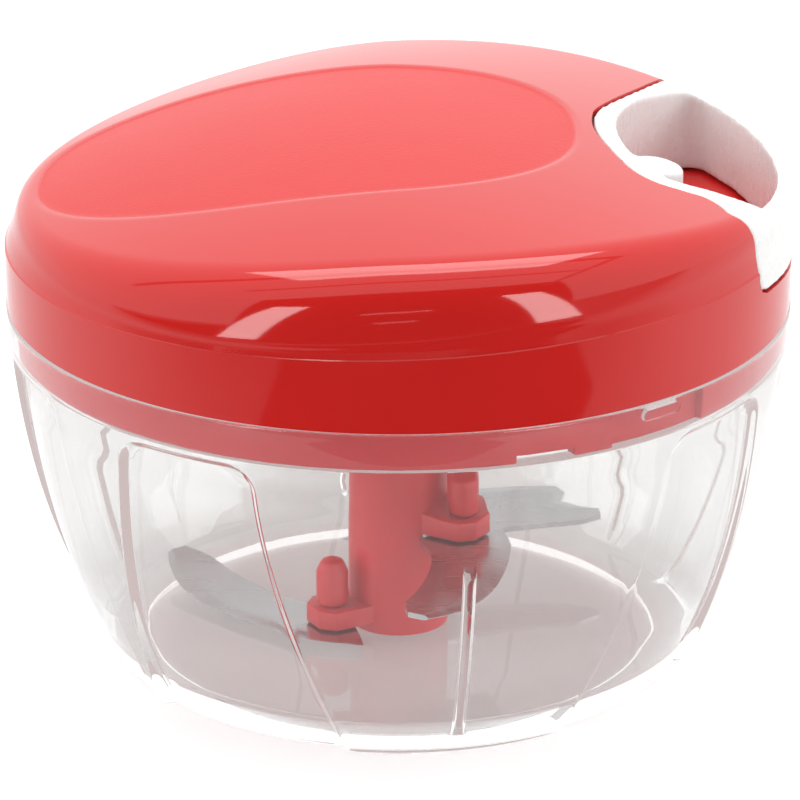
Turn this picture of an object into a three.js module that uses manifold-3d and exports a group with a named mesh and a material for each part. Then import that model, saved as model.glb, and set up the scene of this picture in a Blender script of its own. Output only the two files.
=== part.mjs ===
// Pull cord food chopper: a clear bowl, a blade unit on a spindle, and a domed lid whose pull handle
// winds a cord off a sprung spool. Millimetres, +Z up, origin on the table under the middle of the bowl.
// The handle pulls out along +X.
import * as THREE from 'three';
import { mergeVertices } from 'three/addons/utils/BufferGeometryUtils.js';
import Module from 'manifold-3d';

const wasm = await Module();
wasm.setup();

// Shared clearances
const restGap = 0.3; // between pieces that rest on, or turn in, each other
const handleGap = 0.3; // round the pull handle in its recess
const overrun = 1; // how far a cut runs past the face that it opens
const pinHoleShare = 0.5; // depth of a blind hole, as a share of the wall under it

// Bowl
const baseRadius = 49.2;
const rimRadius = 62.5;
const rimHeight = 58.7;
const wallBulgeRadius = 60.9; // where the wall's base and rim tangents cross
const wallBulgeHeight = 25.8;
const bowlWall = 2.5; // round the foot
const wallGrowth = 0.05; // how much the wall thickens per length of height, between two heights
const wallGrowthFootShare = 0.24; // of the rim's height
const wallGrowthTopShare = 0.78;
const bandDepth = 6.4; // smooth band under the rim
const bandWall = 1.5;
const panelDepth = 1.1; // how far the outside panels are set in
const panelFootDepth = 1.7; // and at the table
const panelFootRise = 20; // height over which the panels grow shallower
const panelTopGap = 0.9; // from the band to the top of a panel
const floorBottom = 0.6;
const floorThickness = 2;
const footInnerRadius = 41.5;
const fieldCentre = -79.5; // degrees, middle of the raised field that faces the front
const fieldHalfTop = 30.7; // degrees
const fieldHalfFoot = 19.8;
const fieldEdgePower = 1.7; // its edges bend outward above the foot
const pillarHalfTop = 8.2;
const pillarHalfFoot = 1.2;
const stepAngle = 0.7; // degrees that the panel's edge takes to fall in
const foldCount = 3;
const ribWidth = 1.6;
const ribDepth = 1.2;
const ribTop = 35;
const lugHeight = 3.4;
const lugDrop = 0.4; // from the rim to the top of a lug
const lugDepth = 1.3;
const lugHalfAngle = 3.5;
const lugCentre = -51; // degrees
const pedestalRadius = 4.3;
const pedestalHeight = 2.4;
const spindleRadius = 2;
const spindleTop = 15;

// Blade unit
const hubRadius = 8.15;
const hubFootGap = 0.4; // from the bowl's floor to the hub
const shaftGap = 1.1; // from the hub's shoulder up to the drive shaft
const headFlats = 9.2; // across the flats of the drive head
const headHeight = 9.2;
const armRadius = 12.2; // from the axis to the peg
const armHalfWidth = 4.3;
const armEnd = 3.6; // from the peg's axis to the arm's end
const armThickness = 3.2;
const lowArmTop = 8;
const armStep = 8; // from one arm up to the next
const armCount = 3;
const lowArmAngle = -151; // degrees, and each arm above stands clockwise of the one below
const bladeThickness = 1;
const bladeReach = 43.5;
const bladeTipRises = [3, 0, 1.5]; // how far each tip is bent up, from the low blade to the high one
const bladeBendShare = 0.3; // where the bend starts, as a share of the reach across from the arm
const bladeFolds = 3; // flat faces that the bend is made of
const pegRadius = 2.6;
const pinRadius = 1.5;
const lowPegHeight = 8.2;
const midPegHeight = 6;
const highPegHeight = 4.6;
const bushWall = 2.3;
const bushLength = 4.7;

// Lid base
const ringGap = 0.4; // between the rim's inner wall and the ring
const ringWall = 2.4;
const ringDrop = 6.1; // from the rim down to the ring's lower edge
const baseThickness = 2;
const trackHalfAngle = 8.4; // degrees, of the track that a lug stands in
const notchAhead = 18.5; // degrees from a lug to the notch in the ring's lower edge
const notchHalfAngle = 4.3;
const notchHeight = 1.3;
const collarWall = 2.8;
const collarRise = 1.2;
const pillarRadius = 3.4;
const pillarGap = 1.7; // from the cap's hat out to a pillar
const pillarAngles = [60, 120, 240, 300]; // degrees
const screwRadius = 1.3;
const screwHeadRadius = 2.8;
const screwHeadHeight = 1.4;
const screwDepth = 8;

// Spool, spring and cap
const shaftRadius = 8;
const socketDepth = 9.6;
const socketGap = 0.3; // each side of the drive head
const shaftDrop = 5.2; // how far the shaft reaches below the base
const washerThickness = 0.8;
const washerRadius = 12;
const flangeThickness = 1.2;
const flangeRadius = 20;
const drumRadius = 11.5;
const cupRadius = 25;
const cupWall = 1.6;
const cupDepth = 5.4;
const springWidth = 4.6;
const springStrip = 0.4;
const springTurns = 7;
const arborRadius = 5.4;
const capThickness = 1.5;
const capHatWall = 1.6; // the cap stands over the cup like a hat, with its ears lower
const capEarDrop = 2.8; // from the cap's underside over the cup down to that of its ears

// Cord
const cordRadius = 0.8;
const windingTurns = 4;
const windingPitch = 2.1;
const windingGap = 0.3; // from the winding to each flange
const knotRadius = 2;

// Lid cover
const lidInset = 0.2; // from the rim's edge in to the lid's skirt
const skirtTaper = 0.05; // from the skirt's foot to the crease
const coverWall = 2.2;
const crownRise = 28.2; // from the rim to the top of the dome
const crownPeakX = -1.1;
const crownFallLeft = 13.1; // at the lid's radius, away from the handle
const crownLeftPower = 1.7;
const crownFallRight = 8.4;
const crownFallSide = 4.6;
const crownTwistShare = 0.75; // the sides fall more away from the handle and less near it
const crownTilt = 0.3; // rise toward the back, at the lid's radius
const creaseRise = 11.2; // from the rim to the crease, on average
const creaseTilt = 1.8;
const leanLeftShare = 0.38; // how much the wall above the crease leans in, per length of height
const leanFrontShare = 0.02;
const leanRightShare = 0.18;
const endEdgeRound = 1.6; // reach of the round edge between wall and dome, at both ends of the lid
const sideEdgeIn = 6.5; // its reach along the dome, midway along the lid's sides
const sideEdgeDown = 9.5; // its reach down the wall there
const postRadius = 3.6;
const postInset = 17.3; // from the lid's wall in to a post
const postAngles = [60, 180, 300]; // degrees
const recessWall = 1.8;

// Pull handle
const handleFootRise = 7.3; // from the rim to the handle's lower face
const barThickness = 2.5; // of the outer bar
const bossRadius = 4;
const bossShare = 0.64; // its place along the lid's radius
const eyeletRadius = 2.4;

// Facets
const roundSteps = 60;
const smallSteps = 20;
const lidSteps = 72;
const holeSteps = 12;
const sideSteps = 6; // round a wound cord
const turnSteps = 24; // along one turn
const fieldColumns = 4; // half a field, a panel and half a pillar of the bowl
const panelColumns = 3;
const pillarColumns = 2;
const arcSteps = 12; // along the outer bar's inner face
const wallRows = 11;

const rad = THREE.MathUtils.degToRad;
const wholeTurn = 360;

// Turns a geometry into an indexed one that holds only its points, with no flat triangles.
function bare(geometry) {
  const g = geometry.clone();
  for (const name of Object.keys(g.attributes)) {
    if (name !== 'position') {
      g.deleteAttribute(name);
    }
  }
  const merged = mergeVertices(g, 1e-4);
  const index = merged.index.array;
  const kept = [];
  for (let i = 0; i < index.length; i += 3) {
    const [a, b, c] = [index[i], index[i + 1], index[i + 2]];
    if (a !== b && b !== c && c !== a) {
      kept.push(a, b, c);
    }
  }
  merged.setIndex(kept);
  return merged;
}

function solid(geometry) {
  const g = bare(geometry);
  return new wasm.Manifold(new wasm.Mesh({
    numProp: 3,
    vertProperties: new Float32Array(g.attributes.position.array),
    triVerts: new Uint32Array(g.index.array),
  }));
}

function geometryOf(manifold) {
  const mesh = manifold.getMesh();
  const g = new THREE.BufferGeometry();
  g.setAttribute('position', new THREE.BufferAttribute(new Float32Array(mesh.vertProperties), 3));
  g.setIndex(new THREE.BufferAttribute(new Uint32Array(mesh.triVerts), 1));
  return g;
}

const joinAll = (solids) => solids.reduce((sum, next) => sum.add(next));
const cutAll = (body, cuts) => cuts.reduce((sum, next) => sum.subtract(next), body);

// A body of revolution from [radius, height] pairs. The profile starts and ends on the axis, or closes.
function turned(profile, steps = roundSteps) {
  const points = profile.map(([r, z]) => new THREE.Vector2(r, z));
  return solid(new THREE.LatheGeometry(points, steps).rotateX(Math.PI / 2));
}

// A disc or plain cylinder standing between two heights.
function cylinder(radius, low, high, steps = smallSteps) {
  return turned([[0, low], [radius, low], [radius, high], [0, high]], steps);
}

function tube(inner, outer, low, high, steps = roundSteps) {
  return turned([[inner, low], [outer, low], [outer, high], [inner, high], [inner, low]], steps);
}

// A flat outline, as [x, y] pairs, raised from one height to another.
function raised(outline, low, high) {
  const shape = new THREE.Shape(outline.map(([x, y]) => new THREE.Vector2(x, y)));
  const g = new THREE.ExtrudeGeometry(shape, { depth: high - low, bevelEnabled: false });
  return solid(g.translate(0, 0, low));
}

// A flat outline in the Y-Z plane, as [y, z] pairs, run along X from one place to another.
function runAlongX(outline, from, to) {
  const shape = new THREE.Shape(outline.map(([y, z]) => new THREE.Vector2(y, z)));
  const g = new THREE.ExtrudeGeometry(shape, { depth: to - from, bevelEnabled: false });
  return solid(g.rotateX(Math.PI / 2).rotateZ(Math.PI / 2).translate(from, 0, 0));
}

// A block that spans an angle about the axis, between two radii and two heights.
function sector(inner, outer, centre, half, low, high) {
  const outline = [];
  const steps = Math.max(2, Math.round(2 * half / (wholeTurn / roundSteps)));
  for (let i = 0; i <= steps; i += 1) {
    const a = rad(centre - half + 2 * half * i / steps);
    outline.push([outer * Math.cos(a), outer * Math.sin(a)]);
  }
  for (let i = steps; i >= 0; i -= 1) {
    const a = rad(centre - half + 2 * half * i / steps);
    outline.push([inner * Math.cos(a), inner * Math.sin(a)]);
  }
  return raised(outline, low, high);
}

// A closed body from one [radius, height] profile for each angle, joined round the axis.
function lofted(angles, profileAt) {
  const rows = angles.map((angle) => profileAt(angle));
  const positions = [];
  rows.forEach((row, i) => {
    for (const [r, z, turn = 0] of row) {
      const a = rad(angles[i] + turn);
      positions.push(r * Math.cos(a), r * Math.sin(a), z);
    }
  });
  const count = rows[0].length;
  const index = [];
  for (let i = 0; i < rows.length; i += 1) {
    const here = i * count;
    const next = ((i + 1) % rows.length) * count;
    for (let j = 0; j < count - 1; j += 1) {
      index.push(here + j, next + j, next + j + 1, here + j, next + j + 1, here + j + 1);
    }
  }
  const g = new THREE.BufferGeometry();
  g.setAttribute('position', new THREE.Float32BufferAttribute(positions, 3));
  g.setIndex(index);
  return solid(g);
}

const fullCircle = (steps) => Array.from({ length: steps }, (_, i) => wholeTurn * i / steps);
const aboutAxis = (count, first) => Array.from({ length: count }, (_, i) => first + wholeTurn * i / count);
const at = (reach, angle) => [reach * Math.cos(rad(angle)), reach * Math.sin(rad(angle))];
const placed = (body, [x, y], z = 0) => body.translate([x, y, z]);
const turnedBy = (body, angle) => body.rotate([0, 0, angle]);

// Bowl wall: a curve from foot to rim, steep at the foot and almost upright at the rim.
const wallCurve = new THREE.QuadraticBezierCurve(
  new THREE.Vector2(baseRadius, 0),
  new THREE.Vector2(wallBulgeRadius, wallBulgeHeight),
  new THREE.Vector2(rimRadius, rimHeight),
);

function wallRadiusAt(z) {
  let low = 0;
  let high = 1;
  while (high - low > 1e-7) {
    const mid = (low + high) / 2;
    if (wallCurve.getPoint(mid).y < z) {
      low = mid;
    } else {
      high = mid;
    }
  }
  return wallCurve.getPoint(low).x;
}

function wallInnerAt(z) {
  const foot = wallGrowthFootShare * rimHeight;
  const grown = THREE.MathUtils.clamp(z, foot, wallGrowthTopShare * rimHeight) - foot;
  return wallRadiusAt(z) - bowlWall - wallGrowth * grown;
}

const floorTop = floorBottom + floorThickness;
const bandBottom = rimHeight - bandDepth;
const panelTop = bandBottom - panelTopGap;
const rimInnerRadius = rimRadius - bandWall;
const ledgeRadius = wallInnerAt(bandBottom);
const lidRadius = rimRadius - lidInset;
const postReach = lidRadius - postInset;
const pillarReach = cupRadius + restGap + capHatWall + pillarGap + pillarRadius;
const pedestalTop = floorTop + pedestalHeight;
const spindleFoot = floorBottom + floorThickness * pinHoleShare;

// Angles of the bowl's columns for one third of its round, as [share of the field, share of the panel,
// share of the pillar, whether the column is set in].
function columnShares(part, count) {
  return Array.from({ length: count + 1 }, (_, i) => ({ part, share: i / count }));
}

function bowlColumns() {
  const half = [
    ...columnShares('field', fieldColumns), ...columnShares('panel', panelColumns),
    ...columnShares('pillar', pillarColumns),
  ];
  const mirrored = half.slice(1, -1).reverse().map((column) => ({ ...column, side: -1 }));
  return [...half.map((column) => ({ ...column, side: 1 })), ...mirrored];
}

const foldAngle = wholeTurn / foldCount;

function columnAngle(column, z) {
  const t = THREE.MathUtils.clamp(z / panelTop, 0, 1);
  const field = THREE.MathUtils.lerp(fieldHalfFoot, fieldHalfTop, 1 - (1 - t) ** fieldEdgePower);
  const pillar = foldAngle / 2 - THREE.MathUtils.lerp(pillarHalfFoot, pillarHalfTop, t);
  const ends = {
    field: [0, field],
    panel: [field + stepAngle, pillar - stepAngle],
    pillar: [pillar, foldAngle / 2],
  }[column.part];
  const angle = THREE.MathUtils.lerp(ends[0], ends[1], column.share);
  return column.side > 0 ? angle : foldAngle - angle;
}

// How far a panel is set in at a height.
function panelDepthAt(z) {
  const below = 1 - Math.min(1, z / panelFootRise);
  return THREE.MathUtils.lerp(panelDepth, panelFootDepth, below * below);
}

function makeBowl() {
  const columns = [];
  for (let fold = 0; fold < foldCount; fold += 1) {
    for (const column of bowlColumns()) {
      columns.push({ column, base: fieldCentre + fold * foldAngle });
    }
  }
  const wallHeights = Array.from({ length: wallRows }, (_, i) => (
    THREE.MathUtils.lerp(0, panelTop, i / (wallRows - 1))
  ));
  const angles = columns.map((_, i) => i);
  const outerAndInner = lofted(angles, (i) => {
    const { column, base } = columns[i];
    const turnAt = (z) => base + columnAngle(column, z) - i;
    const setInAt = (z) => (column.part === 'panel' ? panelDepthAt(z) : 0);
    const outer = wallHeights.map((z) => [wallRadiusAt(z) - setInAt(z), z, turnAt(z)]);
    const inner = wallHeights.slice(1).reverse().map((z) => [wallInnerAt(z), z, turnAt(z)]);
    return [
      [0, floorBottom, turnAt(0)],
      [footInnerRadius, floorBottom, turnAt(0)],
      [footInnerRadius, 0, turnAt(0)],
      ...outer,
      [wallRadiusAt(panelTop), panelTop + panelDepth / 2, turnAt(panelTop)],
      [rimRadius - restGap, bandBottom, turnAt(bandBottom)],
      [rimRadius, rimHeight - restGap, turnAt(bandBottom)],
      [rimRadius, rimHeight, turnAt(bandBottom)],
      [rimInnerRadius, rimHeight, turnAt(bandBottom)],
      [rimInnerRadius, bandBottom, turnAt(bandBottom)],
      [ledgeRadius, bandBottom, turnAt(bandBottom)],
      ...inner,
      [wallInnerAt(floorTop), floorTop, turnAt(floorTop)],
      [0, floorTop, turnAt(0)],
    ];
  });
  const ribs = aboutAxis(foldCount, fieldCentre).map((angle) => {
    const heights = [floorTop - floorThickness / 2, ...wallHeights.filter((z) => z > floorTop && z < ribTop)];
    const inward = heights.map((z) => [wallInnerAt(z) - ribDepth, z]);
    const outward = heights.map((z) => [wallRadiusAt(z) - bowlWall / 2, z]).reverse();
    const crest = [wallRadiusAt(ribTop) - bowlWall / 2, ribTop];
    const shape = new THREE.Shape([...inward, crest, ...outward].map(([r, z]) => new THREE.Vector2(r, z)));
    const g = new THREE.ExtrudeGeometry(shape, { depth: ribWidth, bevelEnabled: false });
    return turnedBy(solid(g.rotateX(Math.PI / 2).translate(0, ribWidth / 2, 0)), angle);
  });
  const lugTop = rimHeight - lugDrop;
  const lugs = aboutAxis(foldCount, lugCentre).map((angle) => sector(
    rimInnerRadius - lugDepth, rimInnerRadius + bowlWall / 2, angle, lugHalfAngle, lugTop - lugHeight, lugTop,
  ));
  const pedestal = cylinder(pedestalRadius, floorTop - floorThickness / 2, pedestalTop, smallSteps);
  const bore = cylinder(spindleRadius + restGap, spindleFoot - restGap, pedestalTop + overrun, smallSteps);
  return joinAll([outerAndInner, ...ribs, ...lugs, pedestal]).subtract(bore);
}

function makeSpindle() {
  const round = spindleRadius / 2;
  return turned([
    [0, spindleFoot], [spindleRadius, spindleFoot], [spindleRadius, spindleTop - round],
    [spindleRadius - round / 3, spindleTop - round / 3], [spindleRadius - round, spindleTop], [0, spindleTop],
  ], smallSteps);
}

// Heights that the blade unit and the lid share
const baseTop = rimHeight;
const lidFoot = rimHeight + restGap;
const baseBottom = baseTop - baseThickness;
const shaftBottom = baseBottom - shaftDrop;
const hubTop = shaftBottom - shaftGap;

// Blade unit
const hubFoot = floorTop + hubFootGap;
const bushFoot = pedestalTop + restGap;
const bushTop = bushFoot + bushLength;
const bushRadius = spindleRadius + restGap + bushWall;
const hexRadius = (flats) => flats / 2 / Math.cos(Math.PI / 6);
const armTops = Array.from({ length: armCount }, (_, i) => lowArmTop + armStep * i);
const armAngles = armTops.map((_, i) => lowArmAngle - wholeTurn * i / armCount);
const bladeTopAt = (armTop) => armTop - armThickness - restGap;

function hexagon(flats, low, high) {
  return turned([[0, low], [hexRadius(flats), low], [hexRadius(flats), high], [0, high]], 6);
}

function makeHub() {
  const length = armRadius + armEnd;
  const corner = armHalfWidth / 2;
  const arms = armTops.map((top, i) => {
    const outline = [
      [0, -armHalfWidth], [length - corner, -armHalfWidth], [length, -armHalfWidth + corner],
      [length, armHalfWidth - corner], [length - corner, armHalfWidth], [0, armHalfWidth],
    ];
    return turnedBy(raised(outline, top - armThickness, top), armAngles[i]);
  });
  const bodyTube = cylinder(hubRadius, hubFoot, hubTop, roundSteps / 2);
  const head = hexagon(headFlats, hubTop - overrun, hubTop + headHeight);
  const bushSeat = cylinder(bushRadius + restGap, hubFoot - overrun, bushTop + restGap, smallSteps);
  const spindleBore = cylinder(spindleRadius + 2 * restGap, bushTop, spindleTop + overrun, smallSteps);
  const holes = armTops.map((top, i) => placed(
    cylinder(pinRadius + restGap, top - armThickness - overrun, top + overrun, holeSteps),
    at(armRadius, armAngles[i]),
  ));
  return cutAll(joinAll([bodyTube, head, ...arms]), [bushSeat, spindleBore, ...holes]);
}

// Blade outline in shares of its reach, seen from above with the peg on +X. The tip trails clockwise.
const bladeOuterShares = [
  [0.268, 0.221], [0.365, 0.137], [0.462, 0.03], [0.518, -0.078], [0.578, -0.23], [0.622, -0.392],
  [0.641, -0.573], [0.62, -0.7], [0.593, -0.782],
];
const bladeInnerShares = [
  [0.513, -0.789], [0.45, -0.7], [0.416, -0.565], [0.371, -0.423], [0.315, -0.291], [0.252, -0.2],
  [0.165, -0.116], [0.2, 0],
];

const tipShare = -bladeInnerShares[0][1];

function bladeOutline() {
  const edge = (shares, steps) => new THREE.SplineCurve(
    shares.map(([x, y]) => new THREE.Vector2(x * bladeReach, y * bladeReach)),
  ).getPoints(steps).map((p) => [p.x, p.y]);
  const waist = hubRadius + restGap;
  const points = [...edge(bladeOuterShares, 16), ...edge(bladeInnerShares, 14)];
  return points.map(([x, y]) => {
    const reach = Math.hypot(x, y);
    const scale = Math.max(1, waist / reach);
    return [x * scale, y * scale];
  });
}

// Bends a plate up towards the tip, fold by fold. A fold is the slice between two lines along X.
function bentUp(plate, tipRise) {
  const foldAt = (i) => -bladeReach * THREE.MathUtils.lerp(bladeBendShare, tipShare, i / bladeFolds);
  const riseAt = (i) => tipRise * (i / bladeFolds) ** 2;
  const folds = [];
  let rest = plate;
  for (let i = 0; i < bladeFolds; i += 1) {
    const [before, beyond] = rest.splitByPlane([0, 1, 0], foldAt(i));
    folds.push(before);
    rest = beyond;
  }
  folds.push(rest);
  const sloped = folds.map((fold, i) => fold.warp((point) => {
    const share = (point[1] - foldAt(i - 1)) / (foldAt(i) - foldAt(i - 1));
    point[2] += i > 0 ? THREE.MathUtils.lerp(riseAt(i - 1), riseAt(i), share) : 0;
  }));
  return joinAll(sloped);
}

function makeBlade(i) {
  const top = bladeTopAt(armTops[i]);
  const foot = top - bladeThickness;
  const plate = bentUp(raised(bladeOutline(), foot, top), bladeTipRises[i]);
  const hole = placed(cylinder(pinRadius + restGap, foot - overrun, top + overrun, holeSteps), [armRadius, 0]);
  const waist = cylinder(hubRadius + restGap, foot - overrun, top + overrun, roundSteps / 2);
  return turnedBy(plate.subtract(hole).subtract(waist), armAngles[i]);
}

function makeBladePin(i, pegHeight, domed) {
  const top = armTops[i] + restGap;
  const foot = bladeTopAt(armTops[i]) - bladeThickness;
  const round = domed ? pegRadius : pegRadius / 5;
  const crown = domed
    ? [[pegRadius, top + pegHeight - round], [pegRadius * 0.7, top + pegHeight - round * 0.3]]
    : [[pegRadius, top + pegHeight - round], [pegRadius - round, top + pegHeight]];
  const pin = turned([
    [0, foot], [pinRadius, foot], [pinRadius, top], [pegRadius, top], ...crown, [0, top + pegHeight],
  ], holeSteps);
  return placed(pin, at(armRadius, armAngles[i]));
}

// Lid base
const ringOuter = rimInnerRadius - ringGap;
const ringInner = ringOuter - ringWall;
const ringBottom = rimHeight - ringDrop;
const collarTop = baseTop + collarRise;
const collarInner = shaftRadius + restGap;
const collarOuter = collarInner + collarWall;
const washerBottom = collarTop + restGap;
const spoolBottom = washerBottom + washerThickness + restGap;
const drumBottom = spoolBottom + flangeThickness;
const drumTop = drumBottom + windingTurns * windingPitch + 2 * (cordRadius + windingGap);
const cupFloor = drumTop + flangeThickness;
const cupTop = cupFloor + cupDepth;
const capBottom = cupTop + restGap;
const capTop = capBottom + capThickness;
const earBottom = capBottom - capEarDrop;
const pillarTop = earBottom - restGap;
const cordHeight = drumTop - windingGap - cordRadius;
const cordOffset = -(drumRadius + restGap + cordRadius);

function makeLidBase() {
  const body = turned([
    [collarInner, baseBottom], [ringInner, baseBottom], [ringInner, ringBottom], [ringOuter, ringBottom],
    [ringOuter, baseTop], [collarOuter, baseTop], [collarOuter, collarTop], [collarInner, collarTop],
    [collarInner, baseBottom],
  ]);
  const pillars = pillarAngles.map((angle) => placed(
    cylinder(pillarRadius, baseTop - overrun, pillarTop, smallSteps), at(pillarReach, angle),
  ));
  const bores = pillarAngles.map((angle) => placed(
    cylinder(screwRadius + restGap, pillarTop - screwDepth, pillarTop + overrun, holeSteps), at(pillarReach, angle),
  ));
  const postHoles = postAngles.map((angle) => placed(
    cylinder(screwRadius + restGap, baseBottom - overrun, baseTop + overrun, holeSteps), at(postReach, angle),
  ));
  const tracks = aboutAxis(foldCount, lugCentre).map((angle) => sector(
    rimInnerRadius - lugDepth - restGap, rimRadius, angle, trackHalfAngle, ringBottom - overrun, baseTop + overrun,
  ));
  const notches = aboutAxis(foldCount, lugCentre - notchAhead).map((angle) => sector(
    ringInner - overrun, rimRadius, angle, notchHalfAngle, ringBottom - overrun, ringBottom + notchHeight,
  ));
  return cutAll(joinAll([body, ...pillars]), [...bores, ...postHoles, ...tracks, ...notches]);
}

// A pan head screw along Z. Its head is at headZ, and its shank runs the other way.
function makeScrew([x, y], headZ, down) {
  const sign = down ? -1 : 1;
  const socket = screwHeadHeight / 2;
  const profile = [
    [0, headZ - sign * screwDepth], [screwRadius, headZ - sign * screwDepth], [screwRadius, headZ],
    [screwHeadRadius, headZ], [screwHeadRadius, headZ + sign * screwHeadHeight / 2],
    [screwHeadRadius * 0.7, headZ + sign * screwHeadHeight], [0, headZ + sign * screwHeadHeight],
  ];
  const body = turned(down ? profile.reverse() : profile, holeSteps);
  const slot = screwRadius / 2;
  const [low, high] = down
    ? [headZ - screwHeadHeight - overrun, headZ - screwHeadHeight + socket]
    : [headZ + screwHeadHeight - socket, headZ + screwHeadHeight + overrun];
  const bars = [0, 90].map((angle) => turnedBy(raised([
    [-screwRadius, -slot], [screwRadius, -slot], [screwRadius, slot], [-screwRadius, slot],
  ], low, high), angle));
  return placed(cutAll(body, bars), [x, y]);
}

const capScrewHead = earBottom + capThickness + restGap;
const postBottom = lidFoot;
const coverScrewHead = baseBottom - restGap;

// Spool with its shaft, drum, flanges and spring cup
function makeSpool() {
  const body = turned([
    [0, shaftBottom], [shaftRadius, shaftBottom], [shaftRadius, spoolBottom], [flangeRadius, spoolBottom],
    [flangeRadius, drumBottom], [drumRadius, drumBottom], [drumRadius, drumTop], [cupRadius, drumTop],
    [cupRadius, cupTop], [cupRadius - cupWall, cupTop], [cupRadius - cupWall, cupFloor], [0, cupFloor],
  ], roundSteps / 2 + 6);
  const socket = hexagon(headFlats + 2 * socketGap, shaftBottom - overrun, shaftBottom + socketDepth);
  return body.subtract(socket);
}

function makeCap() {
  const hatInner = cupRadius + restGap;
  const hatOuter = hatInner + capHatWall;
  const earReach = pillarReach + pillarRadius;
  const hat = turned([
    [0, capBottom], [hatInner, capBottom], [hatInner, earBottom], [earReach, earBottom],
    [earReach, earBottom + capThickness], [hatOuter, earBottom + capThickness], [hatOuter, capTop], [0, capTop],
  ], roundSteps / 2 + 6);
  const arbor = cylinder(arborRadius, cupFloor + restGap, capBottom + capThickness / 2, smallSteps);
  const slit = springStrip + 2 * restGap;
  const slot = raised([
    [0, -slit / 2], [arborRadius + overrun, -slit / 2], [arborRadius + overrun, slit / 2], [0, slit / 2],
  ], cupFloor - overrun, cupFloor + springWidth + 2 * restGap);
  const holes = pillarAngles.map((angle) => placed(
    cylinder(screwRadius + restGap, earBottom - overrun, capTop + overrun, holeSteps), at(pillarReach, angle),
  ));
  const recessRelief = handleSpace(handleGap + recessWall + restGap, 40);
  return cutAll(hat.add(arbor), [slot, ...holes, recessRelief]);
}

// Least distance between turns of a wound path, less its thickness. Points a turn apart are compared.
function reportGap(name, points, stepsPerTurn, thickness) {
  let least = Infinity;
  for (let i = 0; i < points.length; i += 1) {
    for (let j = i + Math.round(stepsPerTurn * 0.75); j < points.length; j += 1) {
      least = Math.min(least, points[i].distanceTo(points[j]));
    }
  }
  console.log(`${name}: least gap between turns ${(least - thickness).toFixed(2)} mm`);
}

function makeSpring() {
  const low = cupFloor + restGap;
  const inner = arborRadius + 2 * restGap;
  const outer = cupRadius - cupWall - restGap - springStrip;
  const steps = springTurns * 16;
  const spiral = (offset) => Array.from({ length: steps + 1 }, (_, i) => {
    const r = THREE.MathUtils.lerp(inner, outer, i / steps) + offset;
    const a = 2 * Math.PI * springTurns * i / steps;
    return new THREE.Vector3(r * Math.cos(a), r * Math.sin(a), 0);
  });
  const middle = spiral(springStrip / 2);
  reportGap('recoil_spring', middle, steps / springTurns, springStrip);
  const hookEnd = arborRadius / 2;
  const outline = [
    [hookEnd, springStrip / 2], [hookEnd, -springStrip / 2], [inner + springStrip, -springStrip / 2],
    ...spiral(springStrip).map((p) => [p.x, p.y]).slice(1),
    ...spiral(0).map((p) => [p.x, p.y]).slice(1).reverse(),
    [inner, springStrip / 2],
  ];
  return raised(outline, low, low + springWidth);
}

// Cord
class WindingPath extends THREE.Curve {
  getPoint(t, target = new THREE.Vector3()) {
    const back = (1 - t) * windingTurns;
    const a = -Math.PI / 2 - 2 * Math.PI * back;
    const r = -cordOffset;
    return target.set(r * Math.cos(a), r * Math.sin(a), cordHeight - windingPitch * back);
  }
}

function cordSection(sides) {
  return new THREE.Shape(Array.from({ length: sides }, (_, i) => new THREE.Vector2(
    cordRadius * Math.cos(2 * Math.PI * i / sides), cordRadius * Math.sin(2 * Math.PI * i / sides),
  )));
}

function makeWinding() {
  const path = new WindingPath();
  const steps = windingTurns * turnSteps;
  reportGap('cord_winding', path.getPoints(steps), turnSteps, 2 * cordRadius);
  return solid(new THREE.ExtrudeGeometry(cordSection(sideSteps), {
    steps, extrudePath: path, bevelEnabled: false,
  }));
}

const bossX = bossShare * lidRadius;
const knotX = bossX;
const pocketRadius = knotRadius + restGap;

function makeCordLead() {
  const path = new THREE.LineCurve3(
    new THREE.Vector3(restGap, cordOffset, cordHeight),
    new THREE.Vector3(knotX - knotRadius - restGap, cordOffset, cordHeight),
  );
  return solid(new THREE.ExtrudeGeometry(cordSection(8), { steps: 6, extrudePath: path, bevelEnabled: false }));
}

function makeKnot() {
  const points = new THREE.SplineCurve([
    new THREE.Vector2(0, -knotRadius), new THREE.Vector2(knotRadius * 0.8, -knotRadius * 0.7),
    new THREE.Vector2(knotRadius, 0), new THREE.Vector2(knotRadius * 0.8, knotRadius * 0.7),
    new THREE.Vector2(0, knotRadius),
  ]).getPoints(8).map((p) => [Math.max(0, p.x), p.y]);
  points[0][0] = 0;
  points[points.length - 1][0] = 0;
  return placed(turned(points, holeSteps), [knotX, cordOffset], cordHeight);
}

// Lid cover: the dome's height over the table at a place, and the wall's radius
const crownTop = rimHeight + crownRise;

function crownHeight(x, y) {
  const along = x - crownPeakX;
  const [fall, power] = along < 0 ? [crownFallLeft, crownLeftPower] : [crownFallRight, 2];
  const fallen = fall * Math.abs(along / lidRadius) ** power;
  const side = crownFallSide * (1 - crownTwistShare * x / lidRadius);
  return crownTop - fallen - side * (y / lidRadius) ** 2 + crownTilt * y / lidRadius;
}

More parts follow.
